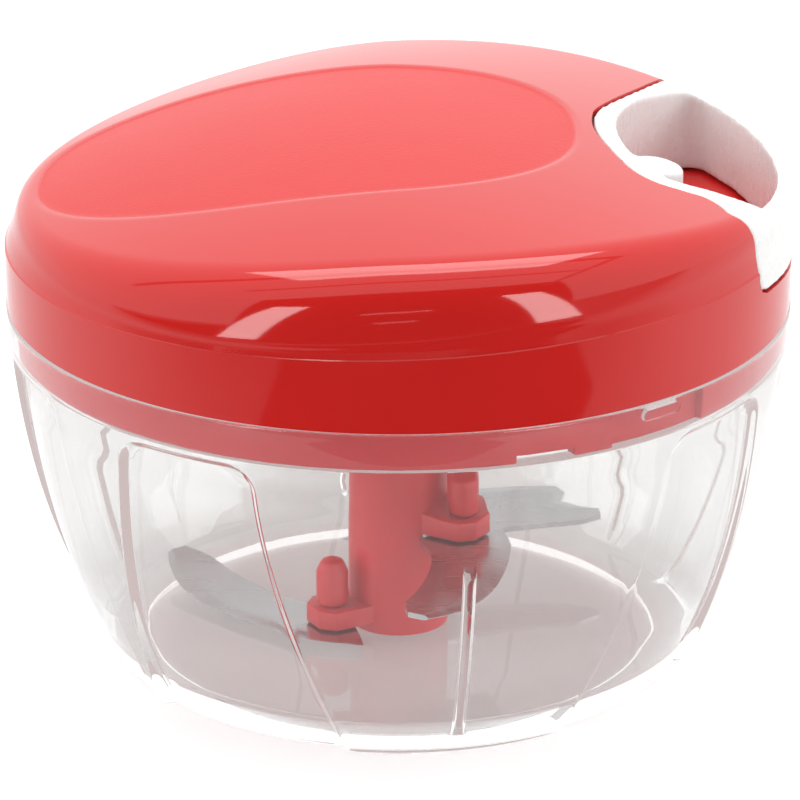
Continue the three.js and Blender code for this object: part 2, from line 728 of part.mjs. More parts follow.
function lidProfile(angle, inset, foot) {
  const [c, s] = at(1, angle);
  const endLean = c < 0 ? leanLeftShare : leanRightShare;
  const lean = leanFrontShare + (endLean - leanFrontShare) * c * c;
  const crease = rimHeight + creaseRise + creaseTilt * c;
  const creaseRadius = lidRadius - skirtTaper - inset;
  const dome = (r) => crownHeight(r * c, r * s) - inset;
  const inward = THREE.MathUtils.lerp(endEdgeRound, sideEdgeIn, s * s);
  const down = THREE.MathUtils.lerp(endEdgeRound, sideEdgeDown, s * s);
  let cornerZ = crease + down;
  let cornerR = creaseRadius;
  for (let i = 0; i < 12; i += 1) {
    cornerR = creaseRadius - lean * (cornerZ - crease);
    cornerZ = dome(cornerR);
  }
  const reach = Math.hypot(lean, 1);
  const below = new THREE.Vector2(cornerR + down * lean / reach, cornerZ - down / reach);
  const within = new THREE.Vector2(cornerR - inward, dome(cornerR - inward));
  const round = new THREE.QuadraticBezierCurve(below, new THREE.Vector2(cornerR, cornerZ), within);
  const edge = round.getPoints(inset > 0 ? 2 : 4).map((p) => [p.x, p.y]);
  const rings = [0.86, 0.66, 0.44, 0.22].map((share) => {
    const r = within.x * share;
    return [r, dome(r)];
  });
  return [[0, foot], [lidRadius - inset, foot], [creaseRadius, crease], ...edge, ...rings, [0, dome(0)]];
}

const lidAngles = fullCircle(lidSteps);
const lidOutside = lofted(lidAngles, (angle) => lidProfile(angle, 0, lidFoot));

// Pull handle: its outline from above, in shares of the lid's radius. It widens all the way to the
// wall, so that the handle pulls straight out.
const handleFrontShares = [
  [0.97, -0.5], [0.85, -0.496], [0.796, -0.478], [0.773, -0.43], [0.74, -0.391], [0.689, -0.371],
  [0.62, -0.337], [0.567, -0.262], [0.522, -0.117],
];
const handleBackShares = [
  [0.5, -0.01], [0.497, 0.08], [0.51, 0.175], [0.546, 0.265], [0.592, 0.36], [0.639, 0.454], [0.7, 0.58],
  [0.81, 0.79],
];
// Its outline from the side that it pulls to, as [share of the radius across, share of the height up].
const handleFaceFrontShares = [
  [-0.13, 0], [-0.33, 0.062], [-0.44, 0.085], [-0.468, 0.12], [-0.484, 0.2], [-0.49, 0.373], [-0.495, 0.6],
  [-0.51, 1.1],
];
const handleFaceBackShares = [
  [1, 1.1], [0.8, 0.6], [0.72, 0.41], [0.68, 0.3], [0.66, 0.2], [0.64, 0.12], [0.55, 0.085], [0.35, 0.062],
  [0.13, 0],
];
// The finger opening, inner edge from back to front.
const openingInnerShares = [
  [0.835, 0.463], [0.815, 0.503], [0.775, 0.518], [0.735, 0.492], [0.69, 0.438], [0.632, 0.36], [0.58, 0.225], [0.556, 0.09], [0.565, -0.07], [0.604, -0.2],
  [0.655, -0.285], [0.703, -0.312], [0.758, -0.325], [0.819, -0.348], [0.873, -0.371],
];
const openingFrontAngle = -23; // degrees
const openingBackAngle = 29;

const handleFoot = rimHeight + handleFootRise;
const handleFaceHeight = crownRise - handleFootRise;
const beyondLid = lidRadius + 6 * overrun;

function spline(shares, steps) {
  return new THREE.SplineCurve(shares.map(([x, y]) => new THREE.Vector2(x, y))).getPoints(steps);
}

// The handle's space, grown by an allowance on every side that faces the lid.
function handleSpace(grown, steps) {
  const plan = spline([...handleFrontShares, ...handleBackShares], steps).map((p, i, all) => {
    const ahead = all[Math.min(i + 1, all.length - 1)].clone().sub(all[Math.max(i - 1, 0)]).normalize();
    return [p.x * lidRadius - ahead.y * grown, p.y * lidRadius + ahead.x * grown];
  });
  const last = plan[plan.length - 1];
  const outline = [[beyondLid, plan[0][1]], ...plan, [beyondLid, last[1]]].reverse();
  const side = (shares, sign) => shares.map(([y, z]) => [
    y * lidRadius + sign * grown, handleFoot - grown + z * handleFaceHeight,
  ]);
  const face = [...side(handleFaceFrontShares, -1).reverse(), ...side(handleFaceBackShares, 1).reverse()].reverse();
  const low = handleFoot - grown;
  return raised(outline, low, crownTop + overrun).intersect(runAlongX(face, 0, beyondLid));
}

function makeHandle() {
  const inner = spline(openingInnerShares, 30).map((p) => [p.x * lidRadius, p.y * lidRadius]);
  const barInner = lidRadius - skirtTaper - barThickness - restGap;
  const arc = Array.from({ length: arcSteps + 1 }, (_, i) => at(
    barInner, THREE.MathUtils.lerp(openingFrontAngle, openingBackAngle, i / arcSteps),
  ));
  const opening = raised([...inner, ...arc], handleFoot - overrun, crownTop + overrun);
  const boss = placed(cylinder(bossRadius, handleFoot, crownTop, smallSteps), [bossX, cordOffset]);
  const pocket = placed(
    cylinder(pocketRadius, handleFoot - overrun, cordHeight + knotRadius + restGap, holeSteps), [knotX, cordOffset],
  );
  const cordBore = solid(new THREE.CylinderGeometry(cordRadius + restGap, cordRadius + restGap, knotX, holeSteps)
    .rotateZ(Math.PI / 2).translate(knotX / 2, cordOffset, cordHeight));
  const space = handleSpace(0, 48).intersect(lidOutside);
  return space.subtract(opening).add(boss.intersect(space)).subtract(pocket).subtract(cordBore);
}

const eyeletX = 0.5 * lidRadius; // inside the recess's inner wall

function makeCover() {
  const inside = lofted(lidAngles, (angle) => lidProfile(angle, coverWall, lidFoot - overrun));
  const recess = handleSpace(handleGap, 48);
  const recessShell = handleSpace(handleGap + recessWall, 40);
  const posts = postAngles.map((angle) => placed(
    cylinder(postRadius, postBottom, crownTop, smallSteps), at(postReach, angle),
  ).intersect(lidOutside));
  const postBores = postAngles.map((angle) => placed(
    cylinder(screwRadius + restGap, postBottom - overrun, postBottom + screwDepth, holeSteps), at(postReach, angle),
  ));
  const cordHole = solid(new THREE.CylinderGeometry(eyeletRadius + restGap, eyeletRadius + restGap, lidRadius, holeSteps)
    .rotateZ(Math.PI / 2).translate(eyeletX - lidRadius / 4, cordOffset, cordHeight));
  const shell = lidOutside.subtract(inside.subtract(recessShell)).subtract(recess).subtract(cordHole);
  return cutAll(joinAll([shell, ...posts]), postBores);
}

// Where the recess's inner wall stands nearest the axis, over the width of the eyelet.
function recessEdgeX() {
  const near = spline([...handleFrontShares, ...handleBackShares], 200)
    .map((p) => p.multiplyScalar(lidRadius))
    .filter((p) => Math.abs(p.y - cordOffset) < eyeletRadius + restGap);
  return Math.min(...near.map((p) => p.x)) - handleGap;
}

function makeEyelet() {
  const end = recessEdgeX() - restGap;
  const ring = tube(cordRadius + restGap, eyeletRadius, -recessWall, 0, smallSteps);
  return ring.rotate([0, 90, 0]).translate([end, cordOffset, cordHeight]);
}

// Finishes
const finish = (color, roughness, metalness = 0, opacity = 1) => () => new THREE.MeshStandardMaterial({
  color, roughness, metalness, opacity, transparent: opacity < 1,
});
const clearPlastic = finish(0xe6e9ea, 0.08, 0, 0.35);
const redGloss = finish(0xd0201f, 0.18);
const redSatin = finish(0xcf3038, 0.4);
const whitePlastic = finish(0xf2f1f0, 0.35);
const greyPlastic = finish(0xd9d9d6, 0.5);
const steel = finish(0xc2c4c8, 0.28, 1);
const cordWhite = finish(0xeceae4, 0.85);

const chopper = new THREE.Group();

function addPiece(group, name, body, material) {
  const mesh = new THREE.Mesh(geometryOf(body), material());
  mesh.name = name;
  group.add(mesh);
}

const bowlGroup = new THREE.Group();
addPiece(bowlGroup, 'bowl', makeBowl(), clearPlastic);
addPiece(bowlGroup, 'bowl_spindle', makeSpindle(), steel);

const bladeGroup = new THREE.Group();
addPiece(bladeGroup, 'blade_hub', makeHub(), redSatin);
addPiece(bladeGroup, 'hub_bush', tube(spindleRadius + restGap, bushRadius, bushFoot, bushTop, smallSteps), greyPlastic);
['low', 'mid', 'high'].forEach((level, i) => {
  addPiece(bladeGroup, `blade_${level}`, makeBlade(i), steel);
  const pegHeight = [lowPegHeight, midPegHeight, highPegHeight][i];
  addPiece(bladeGroup, `blade_pin_${level}`, makeBladePin(i, pegHeight, i === 0), redSatin);
});

const lidGroup = new THREE.Group();
addPiece(lidGroup, 'lid_base', makeLidBase(), redSatin);
addPiece(lidGroup, 'lid_cover', makeCover(), redGloss);
addPiece(lidGroup, 'mechanism_cap', makeCap(), greyPlastic);
pillarAngles.forEach((angle, i) => {
  addPiece(lidGroup, `cap_screw_${i + 1}`, makeScrew(at(pillarReach, angle), capScrewHead, false), steel);
});
postAngles.forEach((angle, i) => {
  addPiece(lidGroup, `cover_screw_${i + 1}`, makeScrew(at(postReach, angle), coverScrewHead, true), steel);
});
addPiece(lidGroup, 'cord_eyelet', makeEyelet(), whitePlastic);
addPiece(lidGroup, 'recoil_spring', makeSpring(), steel);
addPiece(lidGroup, 'cord_lead', makeCordLead(), cordWhite);
addPiece(lidGroup, 'spool_washer', tube(collarInner, washerRadius, washerBottom, washerBottom + washerThickness, smallSteps), greyPlastic);

const spoolGroup = new THREE.Group();
addPiece(spoolGroup, 'spool', makeSpool(), greyPlastic);
addPiece(spoolGroup, 'cord_winding', makeWinding(), cordWhite);

const handleGroup = new THREE.Group();
addPiece(handleGroup, 'pull_handle', makeHandle(), whitePlastic);
addPiece(handleGroup, 'cord_knot', makeKnot(), cordWhite);

lidGroup.add(spoolGroup, handleGroup);
chopper.add(bowlGroup, bladeGroup, lidGroup);

export default chopper;
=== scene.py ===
# %% [markdown]
# # A pull cord food chopper
# The frame brings every rigid piece at its real place. What is left for Blender is what the eye
# lands on: the clear bowl with its set-in panels, the glossy domed lid, the soft-edged handle, the
# blades and the cord. Each of them is modelled again here, finer, in the space that the frame gives
# it, and the plain inner pieces are copied from the frame and get rounded edges.
#
# All modelling is done in millimetres, because the sizes of a kitchen tool read well that way. A
# piece is brought to metres once, when it is handed over.

# %% Load the frame
import math

import bmesh
import bpy
from mathutils import Matrix, Vector


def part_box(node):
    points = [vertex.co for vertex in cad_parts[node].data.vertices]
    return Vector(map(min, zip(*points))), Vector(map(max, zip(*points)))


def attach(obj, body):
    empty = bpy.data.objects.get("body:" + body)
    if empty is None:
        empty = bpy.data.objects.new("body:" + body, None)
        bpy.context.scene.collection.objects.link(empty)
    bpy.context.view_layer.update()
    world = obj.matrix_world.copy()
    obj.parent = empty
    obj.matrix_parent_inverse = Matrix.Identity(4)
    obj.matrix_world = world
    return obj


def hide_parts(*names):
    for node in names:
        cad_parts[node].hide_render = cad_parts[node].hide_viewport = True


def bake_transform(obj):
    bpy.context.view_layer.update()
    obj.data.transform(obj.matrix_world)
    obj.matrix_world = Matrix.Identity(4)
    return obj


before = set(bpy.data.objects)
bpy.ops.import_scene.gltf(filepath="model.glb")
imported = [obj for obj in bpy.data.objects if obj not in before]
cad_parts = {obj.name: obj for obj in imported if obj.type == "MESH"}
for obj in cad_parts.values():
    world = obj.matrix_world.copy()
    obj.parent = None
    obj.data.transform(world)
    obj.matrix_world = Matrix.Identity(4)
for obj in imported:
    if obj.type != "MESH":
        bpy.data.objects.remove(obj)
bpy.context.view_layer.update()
mm = 0.001
quarter = math.pi / 2


def low_high(node):
    """A node's lowest and highest corner, in millimetres."""
    low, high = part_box(node)
    return low / mm, high / mm


rim_height = low_high("bowl")[1].z
lid_low, lid_high = low_high("lid_cover")
print(f"frame: {len(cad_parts)} nodes, rim {rim_height:.1f} mm, crown {lid_high.z:.1f} mm")

# %% [markdown]
# ## The camera
# The picture was taken from half a metre away with a long lens, a little above the rim, so the
# lid's top shows as a narrow oval and the bowl's sides hardly converge. The camera is placed by two
# points, where it stands and what it looks at, and the lens length sets how large the object is.

# %% Camera
camera_stand = Vector((0, -481.4, 233.9)) * mm
camera_aim = Vector((0, 0, 38.8)) * mm
camera_lens = 143.84
camera_shift = 0.0021

camera = bpy.data.objects.new("camera", bpy.data.cameras.new("camera"))
camera.data.lens = camera_lens
camera.data.shift_x = camera_shift
camera.data.clip_start = 0.01
camera.location = camera_stand
camera.rotation_euler = (camera_aim - camera_stand).to_track_quat("-Z", "Y").to_euler()
bpy.context.scene.collection.objects.link(camera)
bpy.context.scene.camera = camera
print(f"camera: {(camera_aim - camera_stand).length / mm:.0f} mm away, {camera_lens} mm lens")

# %% [markdown]
# ## Shader sums in Python
# A material is a small program made of nodes. Written as node calls it is long and hard to read, so
# one class wraps a socket and lets Python's signs add the Math nodes, and a second one stands for
# the whole finish and adds any other node by its type, its settings and what feeds its sockets.


# %% Shader helpers
class Socket:
    """A socket of a node tree. Sums, products and comparisons of sockets add Math nodes."""

    def __init__(self, owner, socket):
        self.owner = owner
        self.socket = socket

    def _math(self, operation, *values):
        inputs = dict(enumerate(values))
        return self.owner.node("ShaderNodeMath", {"operation": operation}, inputs)[0]

    def __add__(self, other):
        return self._math("ADD", self, other)

    def __radd__(self, other):
        return self._math("ADD", other, self)

    def __sub__(self, other):
        return self._math("SUBTRACT", self, other)

    def __rsub__(self, other):
        return self._math("SUBTRACT", other, self)

    def __mul__(self, other):
        return self._math("MULTIPLY", self, other)

    def __rmul__(self, other):
        return self._math("MULTIPLY", other, self)

    def __truediv__(self, other):
        return self._math("DIVIDE", self, other)

    def __rtruediv__(self, other):
        return self._math("DIVIDE", other, self)

    def __pow__(self, other):
        return self._math("POWER", self, other)

    def size(self):
        return self._math("ABSOLUTE", self)

    def above(self, level, blur):
        """0 well below a level and 1 well above it, with a soft step between."""
        settings = {"interpolation_type": "SMOOTHSTEP"}
        inputs = {"Value": self, "From Min": level - blur, "From Max": level + blur}
        return self.owner.node("ShaderNodeMapRange", settings, inputs)[0]


class Nodes:
    """A node tree under construction."""

    def __init__(self, tree):
        self.tree = tree

    def ray(self):
        """What is known about the ray that asks, by name."""
        return {out.socket.name: out for out in self.node("ShaderNodeLightPath")}

    def feed(self, socket, value):
        if isinstance(value, Socket):
            self.tree.links.new(value.socket, socket)
        else:
            socket.default_value = value

    def node(self, kind, settings=None, inputs=None):
        """Adds a node and returns its outputs as sockets."""
        made = self.tree.nodes.new(kind)
        for key, value in (settings or {}).items():
            if key == "stops":
                for element, (place, colour) in zip(made.color_ramp.elements, value):
                    element.position = place
                    element.color = colour
            else:
                setattr(made, key, value)
        for key, value in (inputs or {}).items():
            self.feed(made.inputs[key], value)
        return [Socket(self, out) for out in made.outputs]


class Finish(Nodes):
    """A material under construction, around one Principled surface."""

    def __init__(self, name, **constants):
        self.material = bpy.data.materials.new(name)
        self.material.use_nodes = True
        super().__init__(self.material.node_tree)
        self.surface = self.tree.nodes["Principled BSDF"]
        self.output = self.tree.nodes["Material Output"]
        for key, value in constants.items():
            self.surface.inputs[key.replace("_", " ")].default_value = value

    def axes(self):
        """Object coordinates, one by one."""
        inputs = {0: self.node("ShaderNodeTexCoord")[3]}
        return self.node("ShaderNodeSeparateXYZ", None, inputs)

    def place(self, stretch=(1, 1, 1), turn=(0, 0, 0)):
        """Object coordinates, turned and stretched."""
        object_place = self.node("ShaderNodeTexCoord")[3]
        inputs = {"Vector": object_place, "Rotation": turn, "Scale": stretch}
        return self.node("ShaderNodeMapping", None, inputs)[0]

    def noise(self, size, detail=2.0, stretch=(1, 1, 1), turn=(0, 0, 0)):
        """A noise from 0 to 1 whose lumps are about a size across, in metres."""
        inputs = {"Vector": self.place(stretch, turn), "Scale": 1 / size, "Detail": detail}
        return self.node("ShaderNodeTexNoise", None, inputs)[0]

    def tint(self, share, first, second):
        """A colour between two others."""
        settings = {"data_type": "RGBA"}
        mixed = self.node("ShaderNodeMix", settings, {0: share, 6: first, 7: second})
        return mixed[2]

    def set(self, **fed):
        for key, value in fed.items():
            self.feed(self.surface.inputs[key.replace("_", " ")], value)

    def bump(self, height, distance, strength=1.0):
        inputs = {"Height": height, "Distance": distance, "Strength": strength}
        self.set(Normal=self.node("ShaderNodeBump", None, inputs)[0])


# %% [markdown]
# ## The studio
# A white floor runs out to a white surround. Glossy red plastic is mostly seen by what it mirrors,
# so what stands around the object matters as much as its colour. The dome mirrors the white tent
# behind and above it and turns pink, crossed by a dark bar of the tent's frame. The lid's front
# wall mirrors the tent's open side, a dark room, and stays deep red, apart from two lamps with
# square screens and two thin tubes between them. Table, room, bars and lamps are cards that only
# reflections see, so the floor stays evenly white and no card shows from any side. The surround is
# kept low where it lights surfaces and high where they mirror it, which sets the red's depth and
# its gloss apart from each other.

# %% Floor and surround
floor_reach = 4.0
floor_colour = (0.8, 0.8, 0.8, 1)
floor_glow = 0.4
floor_drop = 0.0002
table_height = 0.0006
table_near = (-0.22, 0.36)
table_far = (-0.03, 1.0)
table_light = 1.2
surround_light = 0.6
surround_mirrored = 1.3


def floor_paper():
    """White paper. The camera sees it a little brighter, so the picture's ground stays even."""
    finish = Finish("floor_paper", Base_Color=floor_colour, Roughness=0.9, Specular_IOR_Level=0,
                    Emission_Strength=floor_glow)
    seen = finish.ray()["Is Camera Ray"]
    finish.set(Emission_Color=finish.tint(seen, (0, 0, 0, 1), (1, 1, 1, 1)))
    return finish


def card_finish(name, level, strength):
    """A black surface that gives light of its own, at a level from 0 to 1 of a strength."""
    finish = Finish(name, Base_Color=(0, 0, 0, 1), Roughness=0.9, Specular_IOR_Level=0,
                    Emission_Strength=strength)
    finish.set(Emission_Color=finish.tint(level(finish), (0, 0, 0, 1), (1, 1, 1, 1)))
    return finish


def table_level(finish):
    """The table is dim in front of the object and bright beside and behind it."""
    rise = finish.node("ShaderNodeMapRange", {"interpolation_type": "SMOOTHSTEP"}, {
        "Value": finish.axes()[1], "From Min": table_near[0], "From Max": table_far[0],
        "To Min": table_near[1], "To Max": table_far[1],
    })
    return rise[0]


def sheet(name, corners, finish):
    """A flat stage sheet between four corners: near left, near right, far left, far right."""
    bm = bmesh.new()
    bmesh.ops.create_grid(bm, x_segments=1, y_segments=1, size=0.5)
    bm.verts.ensure_lookup_table()
    for v, corner in zip(bm.verts, corners):
        v.co = corner
    bmesh.ops.recalc_face_normals(bm, faces=bm.faces)
    mesh = bpy.data.meshes.new(name)
    bm.to_mesh(mesh)
    bm.free()
    made = bpy.data.objects.new(name, mesh)
    made.data.materials.append(finish.material)
    bpy.context.scene.collection.objects.link(made)
    return made


def mirrored_card(name, corners, strength, level=lambda finish: 1.0):
    """A card that only mirror reflections see."""
    card = sheet(name, corners, card_finish(name, level, strength))
    for ray in ("camera", "diffuse", "shadow", "transmission"):
        setattr(card, f"visible_{ray}", False)


def level(reach, z):
    """The corners of a square, level sheet in the middle of the stage."""
    return [(x, y, z) for y in (-reach, reach) for x in (-reach, reach)]


def surround():
    """The world: dimmest where it lights surfaces, brighter where seen, and most where mirrored."""
    world = bpy.data.worlds.new("surround")
    world.use_nodes = True
    bpy.context.scene.world = world
    nodes = Nodes(world.node_tree)
    ray = nodes.ray()
    scattered = ray["Diffuse Depth"].above(0.5, 0.4)
    mirrored = ray["Is Glossy Ray"] * ray["Is Reflection Ray"] * (1 - scattered)
    strength = 1 - scattered * (1 - surround_light) + mirrored * (surround_mirrored - 1)
    background = world.node_tree.nodes["Background"]
    background.inputs["Color"].default_value = (1, 1, 1, 1)
    nodes.feed(background.inputs["Strength"], strength)


sheet("floor", level(floor_reach, -floor_drop), floor_paper())
mirrored_card("table", level(floor_reach, table_height), table_light, table_level)
surround()
bpy.context.scene.view_settings.view_transform = "Standard"
print("studio: floor, table, surround")

# %% What the lid mirrors, in metres and degrees
room_darkness = 0.1
bar_darkness = 0.35
screen_glow = 7.0
tube_glow = 3.0
card_distance = 0.26
left_of_lid = Vector((-0.02, -0.058, 0.075))
right_of_lid = Vector((0.02, -0.058, 0.075))
middle_of_lid = Vector((0, -0.061, 0.076))


def toward(start, azimuth, elevation, distance):
    """The place at a bearing and height angle from a start."""
    a, e = math.radians(azimuth), math.radians(elevation)
    flat = math.cos(e) * distance
    return start + Vector((flat * math.cos(a), flat * math.sin(a), math.sin(e) * distance))


screens = {
    "screen_left": (left_of_lid, ((-144, -13), (-131, -14), (-131, 21), (-119, 21))),
    "screen_right": (right_of_lid, ((-51, -15), (-36, -15), (-63, 21), (-50, 18))),
}
tubes = {
    "tube_long": (middle_of_lid, ((-104, 7.6), (-81, 8.8), (-104, 8.6), (-81, 9.8))),
    "tube_short": (middle_of_lid, ((-99, -2.6), (-85, -1.8), (-99, -2), (-85, -1.2))),
}
for glow, cards in ((screen_glow, screens), (tube_glow, tubes)):
    for name, (start, bearings) in cards.items():
        corners = [toward(start, *bearing, card_distance) for bearing in bearings]
        mirrored_card(name, corners, glow)

level_cards = {
    (room_darkness, 0.002): {
        "room_floor": ((-1.3, -0.14), (0.19, -0.28), (-1.3, -1.62), (1.6, -1.62)),
        "table_edge": ((-0.11, -0.15), (0.16, -0.14), (-0.115, -0.228), (0.2, -0.275)),
    },
    (bar_darkness, 1.07): {
        "bar_over": ((-2.2, -0.02), (0.9, -0.02), (-2.2, 0.08), (0.9, 0.08)),
        "bar_front": ((-1.0, -0.56), (1.0, -0.56), (-1.0, -0.5), (1.0, -0.5)),
        "bar_right": ((0.84, 0), (0.9, 0), (1.38, -1.55), (1.46, -1.55)),
    },
}
for (darkness, height), cards in level_cards.items():
    for name, corners in cards.items():
        mirrored_card(name, [(x, y, height) for x, y in corners], darkness)
room_wall = [(x, -1.6, z) for z in (-0.1, 1.4) for x in (-1.8, 1.8)]
mirrored_card("room_wall", room_wall, room_darkness)


def lamp(name, place, width, depth, energy):
    """A soft rectangular light aimed at the object."""
    made = bpy.data.objects.new(name, bpy.data.lights.new(name, "AREA"))
    made.data.shape = "RECTANGLE"
    made.data.size = width
    made.data.size_y = depth
    made.data.energy = energy
    made.location = place
    made.rotation_euler = (middle_of_lid - Vector(place)).to_track_quat("-Z", "Y").to_euler()
    bpy.context.scene.collection.objects.link(made)
    return made


lamp("overhead", (0, 0.1, 0.95), 0.9, 0.5, 6)
for side in (-1, 1):
    lamp("side_light", (side * 1.1, -0.1, 0.45), 0.9, 0.7, 4).visible_glossy = False
print("studio: two screens, two tubes, dark room, tent bars, three lamps")

# %% [markdown]
# ## Bringing a mesh into the scene
# Every piece ends the same way: millimetres become metres, faces are smooth except across sharp
# edges, the finish goes on, the piece is told which body it moves with, and the plain solids it
# stands for are hidden.


# %% Piece helpers
smooth_below = math.radians(32)


def to_object(name, bm):
    """A scratch object, in millimetres, from a bmesh."""
    mesh = bpy.data.meshes.new(name)
    bm.to_mesh(mesh)
    bm.free()
    made = bpy.data.objects.new(name, mesh)
    bpy.context.scene.collection.objects.link(made)
    return made


def from_object(made):
    """The bmesh of a scratch object, which is used up."""
    bm = bmesh.new()
    bm.from_mesh(made.data)
    discard(made)
    return bm


def discard(made):
    mesh = made.data
    bpy.data.objects.remove(made)
    bpy.data.meshes.remove(mesh)


def apply_modifier(made, kind, **settings):
    """Adds a modifier and makes its result the mesh."""
    modifier = made.modifiers.new(kind.lower(), kind)
    for key, value in settings.items():
        setattr(modifier, key, value)
    graph = bpy.context.evaluated_depsgraph_get()
    result = bpy.data.meshes.new_from_object(made.evaluated_get(graph))
    made.modifiers.clear()
    old = made.data
    made.data = result
    bpy.data.meshes.remove(old)
    return made


def combine(base, other, operation):
    """Joins, cuts or intersects two scratch objects. The second is used up."""
    apply_modifier(base, "BOOLEAN", object=other, operation=operation, solver="EXACT")
    discard(other)
    return base


def hand_over(name, bm, finish, body, nodes=()):
    """Makes the finished piece in metres and returns its object."""
    bmesh.ops.scale(bm, vec=(mm, mm, mm), verts=bm.verts)
    for face in bm.faces:
        face.smooth = True
    for edge in bm.edges:
        edge.smooth = len(edge.link_faces) == 2 and edge.calc_face_angle(0) < smooth_below
    made = to_object(name, bm)
    made.data.materials.append(finish.material)
    if nodes:
        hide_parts(*nodes)
    if body:
        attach(made, body)
    print(f"{name}: {len(made.data.polygons)} faces")
    return made


def spun(profile, columns, closed=True):
    """Turns a profile of (radius, height) round the Z axis. It starts and ends on the axis."""
    bm = bmesh.new()
    verts = [bm.verts.new((r, 0, z)) for r, z in profile]
    edges = [bm.edges.new(pair) for pair in zip(verts, verts[1:])]
    if not closed:
        edges.append(bm.edges.new((verts[-1], verts[0])))
    bmesh.ops.spin(
        bm, geom=verts + edges, cent=(0, 0, 0), axis=(0, 0, 1), angle=2 * math.pi,
        steps=columns, use_merge=True,
    )
    bmesh.ops.remove_doubles(bm, verts=bm.verts, dist=1e-4)
    bmesh.ops.recalc_face_normals(bm, faces=bm.faces)
    return bm


def arc(centre, radius, first, last, steps):
    """Points of a round corner, as (radius, height), between two angles in degrees."""
    points = []
    for i in range(steps + 1):
        a = math.radians(between(first, last, i / steps))
        points.append((centre[0] + radius * math.cos(a), centre[1] + radius * math.sin(a)))
    return points


def raised(bm, faces, height):
    """Raises flat faces into a closed block."""
    made = bmesh.ops.extrude_face_region(bm, geom=faces)
    tops = [v for v in made["geom"] if isinstance(v, bmesh.types.BMVert)]
    bmesh.ops.translate(bm, vec=(0, 0, height), verts=tops)
    bmesh.ops.recalc_face_normals(bm, faces=bm.faces)
    return bm


def prism(outline, low, high):
    """A flat outline of (x, y), raised from one height to another."""
    bm = bmesh.new()
    face = bm.faces.new([bm.verts.new((x, y, low)) for x, y in outline])
    return raised(bm, [face], high - low)


def clamped(value):
    return min(1.0, max(0.0, value))


def soft_step(value):
    """0 below 0, 1 above 1, and a smooth rise between."""
    t = clamped(value)
    return t * t * (3 - 2 * t)


def between(first, last, share):
    return first + (last - first) * share


# %% [markdown]
# ## Clear plastic
# The bowl is a stiff clear plastic. It bends light like glass, so its walls are seen by the dark
# and bright lines at their edges. Lamps have to reach the blades through it, or the inside would be
# black: rays that ask how much lamp light arrives pass straight through, and all other rays are
# bent. A ray that has been thrown to and fro inside a wall several times counts as lost, and stands
# for the pale light that leaks in there. The bowl's floor under the red lid is painted a faint
# pink, as painted light for the red light that the lid throws down onto it. A very faint ripple
# keeps the walls from looking like optical glass.

# %% Clear plastic finish
clear_ior = 1.53
clear_tint = (0.9, 0.902, 0.895, 1)
# The next four values are painted light: a pink tint on the bowl's floor for the red light the lid
# throws there.
painted_lid_light_tint = (0.9, 0.83, 0.825, 1)
painted_lid_light_top = 0.007
painted_lid_light_reach = 0.043
painted_lid_light_blur = 0.003
ripple = (0.02, 0.00003)
most_mirrorings = 2.5
most_passages = 8.5
leaked_colour = (0.62, 0.51, 0.5, 1)


def clear_plastic():
    finish = Finish("clear_plastic", IOR=clear_ior, Transmission_Weight=1.0)
    x, y, z = finish.axes()
    # Painted light: low down and inside the foot's radius, the floor turns pink for the lid's red
    # light.
    outside = ((x * x + y * y) ** 0.5).above(painted_lid_light_reach, painted_lid_light_blur)
    painted_lid_light_share = (1 - z.above(painted_lid_light_top, painted_lid_light_blur)) * (1 - outside)
    finish.set(Base_Color=finish.tint(painted_lid_light_share, clear_tint, painted_lid_light_tint))
    finish.bump(finish.noise(ripple[0], 1.0), ripple[1])
    finish.set(Roughness=finish.noise(ripple[0]) * 0.02 + 0.01)
    ray = finish.ray()
    lost = ray["Glossy Depth"].above(most_mirrorings, 0.1)
    lost = lost + ray["Transmission Depth"].above(most_passages, 0.1)
    through = finish.tree.nodes.new("ShaderNodeBsdfTransparent")
    leaked = finish.tree.nodes.new("ShaderNodeEmission")
    leaked.inputs["Color"].default_value = leaked_colour
    below = finish.surface
    for share, shader in ((lost, leaked), (ray["Is Shadow Ray"], through)):
        mixed = finish.tree.nodes.new("ShaderNodeMixShader")
        finish.feed(mixed.inputs[0], share)
        finish.tree.links.new(below.outputs[0], mixed.inputs[1])
        finish.tree.links.new(shader.outputs[0], mixed.inputs[2])
        below = mixed
    finish.tree.links.new(below.outputs[0], finish.output.inputs[0])
    return finish


clear_finish = clear_plastic()
print("finish: clear plastic")

# %% [markdown]
# ## The bowl
# The bowl is one moulding: a wall that swells from the foot to the rim, a smooth band that takes
# the lid, and three raised fields with set-in panels between them. The fields stand out most at the
# foot. The wall thickens upward, which bends the view and makes everything inside look a little
# lower than it is. The bowl starts as a profile spun round the axis. The spin gives columns at even
# angles, so they are first slid sideways until some lie close along the slanted panel edges, and
# then the outside points of each panel sink in behind a soft slope.

# %% Bowl sizes, in millimetres and degrees
bowl_wall = 2.5
wall_growth = 0.05
growth_span = (14.1, 45.8)
band_depth = 6.4
band_wall = 1.5
foot_radius = 49.2
rim_radius = 62.5
bulge = (60.9, 25.8)
floor_under = 0.6
floor_top = 2.6
foot_inner = 41.5
band_bottom = rim_height - band_depth
panel_top = band_bottom - 0.9
panel_depth = 1.1
panel_foot_depth = 1.7
panel_foot_rise = 20.0
panel_edge = 1.5
panel_corner = 4.0
field_centre = -79.5
field_half = (19.8, 30.7)
field_edge_power = 1.7
pillar_half = (1.2, 8.2)
rib_top = 35.0
rib_fade = 2.5
rib_half_width = 1.0
rib_depth = 0.9
columns_per_half = 62
foot_round = 0.7
foot_rows = (0, 0.05, 0.15, 0.3, 0.5)
outer_rows = ((0.8, 0.23, 9), (2.9, 1.1, 38), (44.4, 0.4, 15), (50.4, 0.19, 10), (52.3, 0.9, 7))
